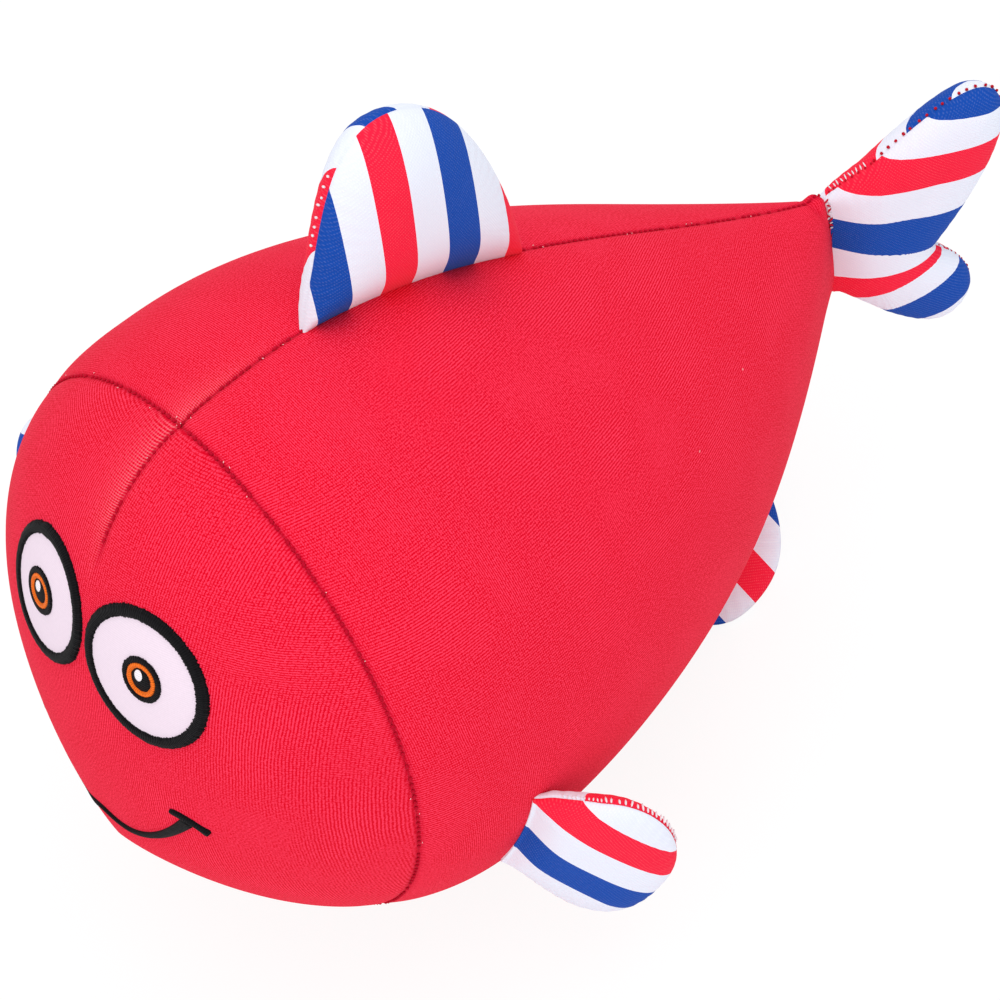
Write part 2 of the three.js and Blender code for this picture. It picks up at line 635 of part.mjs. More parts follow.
// Eyes: a white patch inside a satin border, with the iris, its outline, the pupil and a glint sewn on it
function addEye(name, side) {
  const spot = facePoint(side * EYE_SPREAD, EYE_RISE);
  const out = faceNormal(side * EYE_SPREAD, EYE_RISE);
  const patchBase = FIT_GAP;
  const patchTop = patchBase + EYE_CLOTH;
  const threadBase = patchTop + FIT_GAP;
  const threadTop = threadBase + THREAD;
  const sew = (part, low, high, shape, color) => {
    const piece = faceLayer(low, high).intersect(facePrism(shape, spot, out));
    addPiece(`${name}_${part}`, piece, color, 0.7);
  };
  const white = oval(EYE_HALF_WIDTH - EYE_BORDER - FIT_GAP, EYE_HALF_HEIGHT - EYE_BORDER - FIT_GAP);
  const irisInner = IRIS_RADIUS - IRIS_RING - FIT_GAP;
  const orange = ovalRing(irisInner, irisInner, irisInner - PUPIL_RADIUS - FIT_GAP);
  const pupil = oval(PUPIL_RADIUS, PUPIL_RADIUS);
  const glint = oval(GLINT_RADIUS, GLINT_RADIUS, GLINT_RADIUS, GLINT_RADIUS);
  sew('white', patchBase, patchTop, white, WHITE);
  sew('border', patchBase, patchTop + BORDER_PROUD, ovalRing(EYE_HALF_WIDTH, EYE_HALF_HEIGHT, EYE_BORDER), BLACK);
  sew('iris_outline', threadBase, threadTop, ovalRing(IRIS_RADIUS, IRIS_RADIUS, IRIS_RING), BLACK);
  sew('iris', threadBase, threadTop, orange, ORANGE);
  sew('pupil', threadBase, threadTop, pupil, BLACK);
  sew('glint', threadTop + FIT_GAP, threadTop + FIT_GAP + THREAD / 2, glint, WHITE);
}

// Mouth: one satin-stitched smile with a short dimple across each end, seen from the front
function addMouth() {
  const smile = (share) => new THREE.Vector2(share * SMILE_HALF_WIDTH, SMILE_RISE * share ** 2 - SMILE_DROP);
  const half = SMILE_STROKE / 2;
  const upper = [];
  const lower = [];
  for (let step = -SMILE_STEPS; step <= SMILE_STEPS; step += 1) {
    const share = step / SMILE_STEPS;
    const slope = new THREE.Vector2(SMILE_HALF_WIDTH, 2 * SMILE_RISE * share).normalize();
    const away = new THREE.Vector2(-slope.y, slope.x).multiplyScalar(half);
    upper.push(smile(share).add(away));
    lower.push(smile(share).sub(away));
  }
  const stroke = new THREE.Shape([...lower, ...upper.reverse()]);
  const spot = place(0, 0, 0);
  const ahead = backward.clone().negate();
  const layer = faceLayer(FIT_GAP, FIT_GAP + EYE_CLOTH);
  let mouth = facePrism(stroke, spot, ahead);
  [-1, 1].forEach((side) => {
    const end = smile(side);
    const tilt = side * Math.atan2(2 * SMILE_RISE, SMILE_HALF_WIDTH) + Math.PI / 2;
    const along = new THREE.Vector2(Math.cos(tilt), Math.sin(tilt)).multiplyScalar(DIMPLE_LENGTH / 2);
    const aside = new THREE.Vector2(-along.y, along.x).setLength(half);
    const corners = [
      end.clone().add(along).add(aside),
      end.clone().sub(along).add(aside),
      end.clone().sub(along).sub(aside),
      end.clone().add(along).sub(aside),
    ];
    mouth = mouth.add(facePrism(new THREE.Shape(corners), spot, ahead));
  });
  addPiece('mouth_stitching', layer.intersect(mouth), BLACK, 0.7);
}

addSkin();
addFilling();
addDorsalFin();
addTailFin();
addBellyFin();
addSideFin('left_side_fin', 1, LEFT_FIN_SWEEP_ANGLE, LEFT_FIN_LIFT_ANGLE);
addSideFin('right_side_fin', -1, RIGHT_FIN_SWEEP_ANGLE, RIGHT_FIN_LIFT_ANGLE);
addEye('left_eye', 1);
addEye('right_eye', -1);
addMouth();

export default fish;
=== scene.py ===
# %% [markdown]
# # A floating fish toy for a dog
# The fish is sewn from stretch cloth, turned right side out and stuffed. Its bare solids come from the
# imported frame, which fixes every size and every moving body. This lesson dresses them: sewn panels, striped
# fins, embroidered eyes and a smile, thread, light and a camera at the photograph's angle.

import json
import math

import bmesh
import bpy
import numpy as np
from mathutils import Matrix, Vector, geometry, noise

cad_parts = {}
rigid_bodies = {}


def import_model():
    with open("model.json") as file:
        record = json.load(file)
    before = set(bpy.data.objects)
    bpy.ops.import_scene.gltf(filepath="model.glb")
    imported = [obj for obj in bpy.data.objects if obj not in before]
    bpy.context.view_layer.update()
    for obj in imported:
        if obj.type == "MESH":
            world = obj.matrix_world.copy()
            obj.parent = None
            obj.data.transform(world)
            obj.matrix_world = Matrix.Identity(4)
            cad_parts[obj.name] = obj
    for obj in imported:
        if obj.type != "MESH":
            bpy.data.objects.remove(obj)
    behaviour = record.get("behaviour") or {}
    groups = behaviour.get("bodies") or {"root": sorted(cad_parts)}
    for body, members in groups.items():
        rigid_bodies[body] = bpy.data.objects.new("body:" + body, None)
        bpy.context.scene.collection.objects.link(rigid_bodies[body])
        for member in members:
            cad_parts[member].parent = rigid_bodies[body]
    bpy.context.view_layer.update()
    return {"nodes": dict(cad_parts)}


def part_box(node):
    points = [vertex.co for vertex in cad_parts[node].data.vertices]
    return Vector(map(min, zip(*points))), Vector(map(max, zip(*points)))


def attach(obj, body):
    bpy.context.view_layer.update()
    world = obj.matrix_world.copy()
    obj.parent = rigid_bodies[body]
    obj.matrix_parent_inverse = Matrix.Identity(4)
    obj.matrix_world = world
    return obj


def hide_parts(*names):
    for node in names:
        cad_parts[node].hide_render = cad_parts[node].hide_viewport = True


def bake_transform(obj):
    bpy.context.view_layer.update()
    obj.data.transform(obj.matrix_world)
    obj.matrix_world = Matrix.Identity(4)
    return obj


for stray in list(bpy.data.objects):
    bpy.data.objects.remove(stray)
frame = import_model()
MM = 0.001

# %% [markdown]
# ## Camera
# The photograph was taken from above and ahead of the left side with a long lens, and the camera was tilted a
# little. A camera could be aimed with a constraint, but its matrix says the same three angles directly.

# %% Camera
CAMERA_PLACE = Vector((375.1, -200.7, 574.1)) * MM
CAMERA_AZIMUTH = math.radians(58.85)
CAMERA_ELEVATION = math.radians(49.67)
CAMERA_ROLL = math.radians(-13.53)
CAMERA_LENS = 117.67
SENSOR_WIDTH = 36


def add_object(name, data):
    thing = bpy.data.objects.new(name, data)
    bpy.context.scene.collection.objects.link(thing)
    return thing


camera = add_object("camera", bpy.data.cameras.new("camera"))
camera.data.lens = CAMERA_LENS
camera.data.sensor_width = SENSOR_WIDTH
camera.data.clip_start = 0.01
camera.data.clip_end = 50
aside, ahead = math.sin(CAMERA_AZIMUTH), math.cos(CAMERA_AZIMUTH)
level, steep = math.cos(CAMERA_ELEVATION), math.sin(CAMERA_ELEVATION)
backwards = Vector((aside * level, -ahead * level, steep))
image_right = Matrix.Rotation(CAMERA_ROLL, 3, backwards) @ Vector((ahead, aside, 0))
image_up = backwards.cross(image_right)
camera_turn = Matrix((image_right, image_up, backwards)).transposed().to_4x4()
camera.matrix_world = Matrix.Translation(CAMERA_PLACE) @ camera_turn
bpy.context.scene.camera = camera
print("camera at", CAMERA_PLACE[:])

# %% [markdown]
# ## Light and floor
# A product photograph is lit by large soft boxes, so that no shadow is hard. One wide lamp overhead and one
# beside the camera stand in for them, and an even world fills the rest. Levels are plain: white cloth comes out
# just under white. The camera sees world and floor as a white page that keeps a faint shadow. A small class
# holds a tree of nodes, so that each shader reads as a list of its steps.

# %% Light and floor
LAMP_AIM = Vector((0, 0.03, 0.07))
WORLD_LIGHT = 0.74
FLOOR_GREY = (0.93, 0.93, 0.93, 1)
FLOOR_HALF = 4
FLOOR_GAP = 0.2 * MM
PAGE_LIGHT = 1.04
PAGE_SHARE = 0.86


class Board:
    """The nodes of one material, world or group, with short ways to add and wire them."""

    def __init__(self, tree):
        self.tree = tree
        tree.nodes.clear()

    def wire(self, value, socket):
        if isinstance(value, bpy.types.NodeSocket):
            self.tree.links.new(value, socket)
        else:
            socket.default_value = value

    def add(self, kind, **values):
        """A new node with values for its inputs, which are named with _ for a space."""
        node = self.tree.nodes.new(kind)
        for name, value in values.items():
            self.wire(value, node.inputs[name.replace("_", " ")])
        return node

    def uv(self, name):
        node = self.add("ShaderNodeUVMap")
        node.uv_map = name
        return node.outputs["UV"]

    def math(self, operation, *values):
        node = self.add("ShaderNodeMath")
        node.operation = operation
        for value, socket in zip(values, node.inputs):
            self.wire(value, socket)
        return node.outputs[0]


def new_material(name):
    material = bpy.data.materials.new(name)
    material.use_nodes = True
    return material, Board(material.node_tree)


def soft_box(name, place, size, power):
    lamp = add_object(name, bpy.data.lights.new(name, "AREA"))
    lamp.data.shape = "DISK"
    lamp.data.size = size
    lamp.data.energy = power
    lamp.location = place
    lamp.rotation_mode = "QUATERNION"
    lamp.rotation_quaternion = (LAMP_AIM - Vector(place)).to_track_quat("-Z", "Y")


def seen_directly(board, unseen, seen):
    """One value for light that falls on things, another for what the camera, a reflection or glass sees."""
    rays = board.add("ShaderNodeLightPath").outputs
    factor = board.math("MAXIMUM", rays["Is Camera Ray"], rays["Is Glossy Ray"])
    factor = board.math("MAXIMUM", factor, rays["Is Transmission Ray"])
    return board.add("ShaderNodeMapRange", Value=factor, To_Min=unseen, To_Max=seen).outputs["Result"]


def to_object(name, mesh_tool, material):
    """Turns a bmesh into an object at the origin with one material."""
    data = bpy.data.meshes.new(name)
    mesh_tool.to_mesh(data)
    mesh_tool.free()
    data.materials.append(material)
    return add_object(name, data)


soft_box("overhead_box", (0.1, 0.15, 1.5), 1.4, 7.5)
soft_box("camera_box", (0.9, -1.1, 0.9), 1.0, 5)

world = bpy.data.worlds.new("studio")
world.use_nodes = True
board = Board(world.node_tree)
surround = board.add("ShaderNodeBackground", Color=(1, 1, 1, 1), Strength=seen_directly(board, WORLD_LIGHT, 1))
board.add("ShaderNodeOutputWorld", Surface=surround.outputs["Background"])
bpy.context.scene.world = world
bpy.context.scene.view_settings.view_transform = "Standard"

floor_material, board = new_material("pale_floor")
paint = board.add("ShaderNodeBsdfPrincipled", Base_Color=FLOOR_GREY, Roughness=0.9)
page = board.add("ShaderNodeEmission", Strength=PAGE_LIGHT)
floor_mix = board.add("ShaderNodeMixShader", Fac=seen_directly(board, 0, PAGE_SHARE))
board.wire(paint.outputs["BSDF"], floor_mix.inputs[1])
board.wire(page.outputs["Emission"], floor_mix.inputs[2])
board.add("ShaderNodeOutputMaterial", Surface=floor_mix.outputs["Shader"])
floor_mesh = bmesh.new()
bmesh.ops.create_grid(floor_mesh, x_segments=1, y_segments=1, size=FLOOR_HALF)
bmesh.ops.translate(floor_mesh, verts=floor_mesh.verts, vec=(0, 0, -FLOOR_GAP))
floor = to_object("floor", floor_mesh, floor_material)
print("two soft boxes, an even world and a pale floor")

# %% [markdown]
# ## Knit
# Stretch cloth is a fine knit: wales 0.6 mm apart run one way, courses 0.44 mm apart cross them, and which of the
# two catches the light changes from place to place. An image could show it, but sines across the cloth's own UV
# map are sharper and follow each panel. One node group makes the knit for every cloth, and each material places
# it with its own pitch. UV coordinates are in metres of cloth.

# %% Knit
COURSE_SHARE = 0.73
DRIFT_SCALE, DRIFT_TURNS = 150, 1.2
PATCH_SCALE, PATCH_FROM, PATCH_TO = 40, 0.36, 0.6
GRAIN_SCALE, GRAIN_TONE = 2400, 4.4
LOOP_TONE = 0.6
COURSE_HEIGHT = 0.5


def noise_field(board, vector, scale, detail):
    return board.add("ShaderNodeTexNoise", Vector=vector, Scale=scale, Detail=detail).outputs["Fac"]


def make_knit_group():
    """Wales and courses from a cloth's UV map: a height for bump, a tone about zero and the courses alone."""
    group = bpy.data.node_groups.new("knit", "ShaderNodeTree")
    group.interface.new_socket(name="Vector", in_out="INPUT", socket_type="NodeSocketVector")
    group.interface.new_socket(name="Pitch", in_out="INPUT", socket_type="NodeSocketFloat")
    for name in ("Height", "Tone", "Course"):
        group.interface.new_socket(name=name, in_out="OUTPUT", socket_type="NodeSocketFloat")
    board = Board(group)
    entry = board.add("NodeGroupInput").outputs
    spot = entry["Vector"]
    parts = board.add("ShaderNodeSeparateXYZ", Vector=spot).outputs
    drift = noise_field(board, spot, DRIFT_SCALE, 3)
    waves = []
    for axis, share in (("Y", 1), ("X", COURSE_SHARE)):
        turns = board.math("DIVIDE", parts[axis], board.math("MULTIPLY", entry["Pitch"], share))
        turns = board.math("MULTIPLY_ADD", drift, DRIFT_TURNS, turns)
        waves.append(board.math("SINE", board.math("MULTIPLY", turns, 2 * math.pi)))
    wale, course = waves
    patches = noise_field(board, spot, PATCH_SCALE, 3)
    patch = board.add("ShaderNodeMapRange", Value=patches, From_Min=PATCH_FROM, From_Max=PATCH_TO)
    mixed = board.math("MULTIPLY_ADD", board.math("SUBTRACT", wale, course), patch.outputs["Result"], course)
    grain = board.math("SUBTRACT", noise_field(board, spot, GRAIN_SCALE, 2), 0.5)
    loops = board.math("MULTIPLY", board.math("MULTIPLY", wale, course), LOOP_TONE)
    tone = board.math("MULTIPLY_ADD", grain, GRAIN_TONE, board.math("ADD", mixed, loops))
    height = board.math("MULTIPLY_ADD", course, COURSE_HEIGHT, wale)
    board.add("NodeGroupOutput", Height=height, Tone=tone, Course=course)
    return group


knit_group = make_knit_group()
print("group", knit_group.name)

# %% [markdown]
# ## Cloth and thread
# The red cloth swings between a crest and a valley colour with its knit: painted light on the crests and
# painted shade in the valleys, over a tone that differs at random. It turns pale where a seam stretches the
# courses apart, takes painted shade where a seam pulls it into a groove or the tail folds it, and carries a few
# specks of lint. The striped cloth is a print: UV x counts its bands of blue, white and red, so each fin decides
# how they run. Thread is the same knit drawn finer, with strands that differ at random, the lighter ones
# standing in for painted glints.

# %% Cloth and thread
RED_PITCH, STRIPED_PITCH, THREAD_PITCH = 0.6 * MM, 0.85 * MM, 0.45 * MM
KNIT_BUMP, BUMP_DEPTH = 0.12, 0.12 * MM
RED_SWING, RED_LEVEL = 0.8, 0.42
TWILL = 0.03
LINT_SCALE, LINT_SIZE, LINT_STRENGTH = 115, 0.035, 0.55
LINT_PATCH_SCALE, LINT_RARITY = 70, 0.63
STRAND_SCALE, STRAND_AND_GLINT_TONE = 1500, 3


def srgb(red, green, blue):
    def channel(value):
        value = value / 255
        return value / 12.92 if value <= 0.04045 else ((value + 0.055) / 1.055) ** 2.4

    return (channel(red), channel(green), channel(blue), 1)


# crest and valley colours of the knit: painted light on its crests and painted shade in its valleys
RED_VALLEY_SHADE = srgb(222, 0, 34)
RED_CREST_LIGHT = srgb(255, 60, 92)
RED_STRETCHED = srgb(255, 186, 190)
# painted shade for the grooves of the seams and the fold by the tail
RED_SEAM_SHADE = srgb(200, 0, 42)
BLUE_PRINT = srgb(22, 76, 173)
RED_PRINT = srgb(248, 34, 66)
WHITE_PRINT = srgb(236, 241, 255)


def shade_cloth(board, color, height, strength, sheen=0.02, roughness=0.9):
    """A matt cloth shader with bump from its knit."""
    bump = board.add("ShaderNodeBump", Strength=strength, Distance=BUMP_DEPTH, Height=height)
    cloth = board.add(
        "ShaderNodeBsdfPrincipled",
        Base_Color=color,
        Roughness=roughness,
        Specular_IOR_Level=0.07,
        Sheen_Weight=sheen,
        Sheen_Roughness=0.45,
        Normal=bump.outputs["Normal"],
    )
    board.add("ShaderNodeOutputMaterial", Surface=cloth.outputs["BSDF"])


def place_knit(board, uv_name, pitch):
    spot = board.uv(uv_name)
    knit = board.add("ShaderNodeGroup")
    knit.node_tree = knit_group
    board.wire(spot, knit.inputs["Vector"])
    board.wire(pitch, knit.inputs["Pitch"])
    return spot, knit.outputs


def tinted(board, color, tone, amount):
    """A colour made lighter and darker by a tone that swings about zero."""
    factor = board.math("MULTIPLY_ADD", tone, amount, 1)
    scale = board.add("ShaderNodeVectorMath")
    scale.operation = "SCALE"
    board.wire(color[:3], scale.inputs[0])
    board.wire(factor, scale.inputs["Scale"])
    return scale.outputs["Vector"]


def mix_colors(board, factor, first, second):
    mix = board.add("ShaderNodeMix", Factor=factor)
    mix.data_type = "RGBA"
    board.wire(first, mix.inputs[6])
    board.wire(second, mix.inputs[7])
    return mix.outputs[2]


def attribute(board, name):
    node = board.add("ShaderNodeAttribute")
    node.attribute_name = name
    return node.outputs["Fac"]


def make_red_cloth():
    material, board = new_material("red_stretch_cloth")
    spot, knit = place_knit(board, "cloth", RED_PITCH)
    # the knit's tone paints its crests lighter and its valleys darker, together with tone that differs at random
    swing = board.math("MULTIPLY_ADD", knit["Tone"], RED_SWING, RED_LEVEL)
    color = mix_colors(board, swing, RED_VALLEY_SHADE, RED_CREST_LIGHT)
    open_knit = board.math("MULTIPLY", board.math("MAXIMUM", knit["Course"], 0), attribute(board, "stretch"))
    color = mix_colors(board, open_knit, color, RED_STRETCHED)
    # painted shade: the seam value darkens the cloth in the seam grooves and the fold by the tail
    color = mix_colors(board, attribute(board, "seam"), color, RED_SEAM_SHADE)
    lint = board.add("ShaderNodeTexVoronoi", Vector=spot, Scale=LINT_SCALE)
    dot = board.math("LESS_THAN", lint.outputs["Distance"], LINT_SIZE)
    here = board.math("GREATER_THAN", noise_field(board, spot, LINT_PATCH_SCALE, 2), LINT_RARITY)
    speck = board.math("MULTIPLY", board.math("MULTIPLY", dot, here), LINT_STRENGTH)
    color = mix_colors(board, speck, color, RED_STRETCHED)
    shade_cloth(board, color, knit["Height"], KNIT_BUMP)
    return material


def make_striped_cloth():
    material, board = new_material("striped_cloth")
    knit = place_knit(board, "cloth", STRIPED_PITCH)[1]
    across = board.add("ShaderNodeSeparateXYZ", Vector=board.uv("stripes")).outputs["X"]
    band = board.add("ShaderNodeValToRGB", Fac=board.math("FRACT", across))
    band.color_ramp.interpolation = "CONSTANT"
    stops = band.color_ramp.elements
    for index, color in enumerate((BLUE_PRINT, WHITE_PRINT, RED_PRINT, WHITE_PRINT)):
        stop = stops[index] if index < 2 else stops.new(index / 4)
        stop.position = index / 4
        stop.color = color
    twill = board.math("MULTIPLY", board.math("MAXIMUM", knit["Tone"], 0), TWILL)
    lighter = board.add("ShaderNodeVectorMath")
    lighter.operation = "ADD"
    board.wire(band.outputs["Color"], lighter.inputs[0])
    board.wire(twill, lighter.inputs[1])
    shade_cloth(board, lighter.outputs["Vector"], knit["Height"], KNIT_BUMP, sheen=0.03)
    return material


def make_thread(name, color, roughness, contrast):
    """Satin stitch: strands side by side along UV y, each a little lighter or darker than the next.
    The lighter strands stand in for painted glints, and the knit's ridges are painted lighter.
    """
    material, board = new_material(name)
    spot, knit = place_knit(board, "thread", THREAD_PITCH)
    # strands lighter or darker at random, the lighter ones painted glints; the knit height paints the ridges
    # lighter
    strand_and_glint = board.math("SUBTRACT", noise_field(board, spot, STRAND_SCALE, 3), 0.5)
    tone = board.math("MULTIPLY_ADD", strand_and_glint, STRAND_AND_GLINT_TONE, knit["Height"])
    color = tinted(board, color, tone, contrast)
    shade_cloth(board, color, knit["Height"], 2 * contrast, roughness=roughness)
    return material


red_cloth = make_red_cloth()
striped_cloth = make_striped_cloth()
black_thread = make_thread("black_thread", srgb(17, 16, 19), 0.6, 0.35)
orange_thread = make_thread("orange_thread", srgb(240, 112, 30), 0.5, 0.2)
white_thread = make_thread("white_thread", srgb(246, 240, 246), 0.5, 0.1)
eye_cloth = make_thread("eye_white_cloth", srgb(242, 224, 238), 0.8, 0.03)
red_thread = make_thread("red_thread", srgb(205, 20, 45), 0.5, 0.2)
dark_thread = make_thread("dark_red_thread", srgb(206, 8, 46), 0.7, 0.2)
pale_thread = make_thread("pale_thread", srgb(255, 205, 210), 0.7, 0.1)
print("cloth and thread materials ready")

# %% [markdown]
# ## The form of the body
# Nose to tail the body is a stack of egg-shaped sections. Four lines drive it: half width, back, belly and the
# height where it is widest. They are the frame's own formulas in metres, so the cloth lies on the solids.

# %% The form of the body
BODY_LENGTH = 200 * MM
BODY_HALF_WIDTH = 63 * MM
WIDEST_STATION = 55 * MM
WIDEST_SHARE, WIDEST_CLIMB = 0.53, 0.17
BACK_RISE = 74 * MM
CREST_STATION = 60 * MM
BELLY_DROP = 66 * MM
BELLY_STATION = 78 * MM
NOSE_DROP = 16 * MM
TAIL_END_HALF_WIDTH = 1.5 * MM
TAIL_END_RISE = 6 * MM
TAIL_END_DROP = 23 * MM
REST_CUT = 0.5 * MM
FACE_SEAM_STATION = 35 * MM
FACE_SEAM_SWING = 6.3 * MM
DART_STATION = 17 * MM
BACK, BELLY = math.pi / 2, -math.pi / 2
TINY = 1e-9


def taper(share, full, end, slope):
    level_end = 2 * share**3 - 3 * share**2 + 1
    return end + (full - end) * (level_end + slope * (share**3 - share**2))


def nose_curve(share, power, root):
    return (1 - (1 - min(1, max(0, share))) ** power) ** (1 / root)


def section(station):
    """Half width, top, bottom and widest height of the body at a distance from the nose."""

    def rear(full):
        return (station - full) / (BODY_LENGTH - full)

    if station < WIDEST_STATION:
        half_width = BODY_HALF_WIDTH * nose_curve(station / WIDEST_STATION, 2, 2)
    else:
        half_width = taper(rear(WIDEST_STATION), BODY_HALF_WIDTH, TAIL_END_HALF_WIDTH, -2)
    if station < CREST_STATION:
        top = -NOSE_DROP + (BACK_RISE + NOSE_DROP) * nose_curve(station / CREST_STATION, 3, 2)
    else:
        top = taper(rear(CREST_STATION), BACK_RISE, TAIL_END_RISE, -1)
    if station < BELLY_STATION:
        bottom = -NOSE_DROP - (BELLY_DROP - NOSE_DROP) * nose_curve(station / BELLY_STATION, 3, 1)
    else:
        bottom = taper(rear(BELLY_STATION), -BELLY_DROP, -TAIL_END_DROP, -2)
    climb = WIDEST_SHARE + WIDEST_CLIMB * max(0, rear(WIDEST_STATION)) ** 2
    return half_width, top, bottom, bottom + (top - bottom) * climb


def place(x, station, rise):
    return Vector((x, station - BELLY_STATION, rise + BELLY_DROP - REST_CUT))


def skin_point(station, angle):
    """A point of the body's surface: angle 0 is its left side, a quarter turn its back."""
    half_width, top, bottom, widest = section(station)
    lift = math.sin(angle)
    reach = top - widest if lift > 0 else widest - bottom
    return place(half_width * math.cos(angle), station, widest + reach * lift)


def height_share(station, rise):
    """The half width of a section, and how far up or down from its widest height a rise lies, 1 at the skin."""
    half_width, top, bottom, widest = section(station)
    reach = top - widest if rise > widest else widest - bottom
    return half_width, (rise - widest) / max(reach, TINY)


def face_seam(angle):
    return FACE_SEAM_STATION + FACE_SEAM_SWING * math.sin(angle)


print("body at its widest:", [round(value / MM, 1) for value in section(WIDEST_STATION)], "mm")

# %% [markdown]
# ## One skin, then three panels
# A ball already has poles for nose and tail and rings between, so the skin starts as one. Its rings slide until
# one of them lies on the face seam and its meridians crowd to the seams on the back and belly. Each seam then
# pulls the cloth in, with small puckers beside it, the stuffing leaves faint lumps, and the cloth folds up where
# the tail is sewn in. A sculpt brush could do the same by hand, but a formula repeats. Shade is painted into
# each seam groove and that fold as a value on the points.

# %% One skin
SKIN_SIDES = 320
SKIN_RINGS = 180
SEAM_RING = 64
NOSE_CROWDING, TAIL_CROWDING, SEAM_CROWDING = 1.7, 0.6, 0.55
SEAM_PINCH, SEAM_PINCH_WIDTH = 0.35 * MM, 0.7 * MM
SEAM_HOLLOW, SEAM_HOLLOW_WIDTH = 0.22 * MM, 3.5 * MM
SEAM_SHADE = 0.7
FACE_SEAM_RADIUS = 60 * MM
PUCKER, PUCKER_PITCH, PUCKER_REACH = 0.08 * MM, 3 * MM, 5 * MM
LUMP, LUMP_SIZE = 0.5 * MM, 45 * MM
TAIL_ROLL, TAIL_ROLL_PLACE, TAIL_ROLL_WIDTH = 1.6 * MM, 2 * MM, 2 * MM
# painted shade for the fold at the tail
TAIL_FOLD, TAIL_FOLD_WIDTH, TAIL_FOLD_SHADE = 0.35 * MM, 0.8 * MM, 0.4
TAIL_FOLD_PLACE, TAIL_FOLD_CLIMB = 1 * MM, 3.5 * MM
DART_FADE = 4 * MM
STRETCH_WIDTH, STRETCH_REACH = 2.6 * MM, 16 * MM
STRETCH_RIGHT, STRETCH_LEFT = 0.45, 0.05


def smooth_step(value):
    value = min(1, max(0, value))
    return value * value * (3 - 2 * value)


def bell(distance, width):
    return math.exp(-((distance / width) ** 2))


def skin_station(share, angle):
    """The station of a ring: share 0 at the nose, 1 at the tail end, crowding at the face seam and tail."""
    seam_share = SEAM_RING / (SKIN_RINGS - 1)
    seam = face_seam(angle)
    if share <= seam_share:
        near = share / seam_share
        return seam * near**NOSE_CROWDING * (2 - near)
    rest = min(1, (share - seam_share) / (1 - seam_share))
    return seam + (BODY_LENGTH - seam) * (rest - TAIL_CROWDING * math.sin(2 * math.pi * rest) / (2 * math.pi))


def seam_holds(station, angle, point):
    """For the face seam and the middle seam: how strongly it holds the cloth, how far off it is, how far along."""
    yield 1, abs(station - face_seam(angle)), math.atan2(math.sin(angle), math.cos(angle)) * FACE_SEAM_RADIUS
    middle_seam = BACK if math.sin(angle) >= 0 else BELLY
    hold = 1
    if station < face_seam(angle) - 1e-6:
        on_dart = smooth_step((station - DART_STATION + DART_FADE / 2) / DART_FADE)
        hold = on_dart if middle_seam == BACK else 0
    yield hold, (point - skin_point(station, middle_seam)).length, station


def skin_lift(station, angle, point):
    """How far the cloth stands off its form, and the painted shade of a seam groove or the tail fold."""
    lift = LUMP * noise.noise(point / LUMP_SIZE)
    shade = 0
    for hold, distance, along in seam_holds(station, angle, point):
        pinch = hold * bell(distance, SEAM_PINCH_WIDTH)
        lift -= SEAM_PINCH * pinch + hold * SEAM_HOLLOW * bell(distance, SEAM_HOLLOW_WIDTH)
        ripple = noise.noise(Vector((along / PUCKER_PITCH, 3.7, 0.4)))
        lift += hold * PUCKER * ripple * math.exp(-distance / PUCKER_REACH)
        # painted shade, deepest where the seam pinches the cloth in
        shade = max(shade, SEAM_SHADE * pinch)
    from_tail = BODY_LENGTH - station
    high = max(0, math.sin(angle))
    fold = high * bell(from_tail - TAIL_FOLD_PLACE - TAIL_FOLD_CLIMB * high, TAIL_FOLD_WIDTH)
    lift += TAIL_ROLL * high**4 * bell(from_tail - TAIL_ROLL_PLACE, TAIL_ROLL_WIDTH) - TAIL_FOLD * fold
    # painted shade in the fold where the tail is sewn in
    return lift, max(shade, TAIL_FOLD_SHADE * fold)


def knit_stretch(station, angle, point):
    """How far a seam pulls the courses of the knit apart, most on the right of the back seam and the dart."""
    if math.sin(angle) <= 0:
        return 0
    beside = math.exp(-(point - skin_point(station, BACK)).length / STRETCH_WIDTH)
    behind = station - face_seam(BACK)
    if behind > 0:
        reach = bell(behind, STRETCH_REACH)
    else:
        reach = smooth_step((station - DART_STATION + 4 * MM) / (12 * MM))
    return beside * reach * (STRETCH_RIGHT if point.x < 0 else STRETCH_LEFT)


def turn_outwards(mesh_tool, middle):
    """Flips the faces of a closed mesh if they look inwards."""
    mesh_tool.normal_update()
    if sum(face.normal.dot(face.calc_center_median() - middle) for face in mesh_tool.faces) < 0:
        bmesh.ops.reverse_faces(mesh_tool, faces=mesh_tool.faces)
        mesh_tool.normal_update()


skin = bmesh.new()
bmesh.ops.create_uvsphere(skin, u_segments=SKIN_SIDES, v_segments=SKIN_RINGS, radius=1)
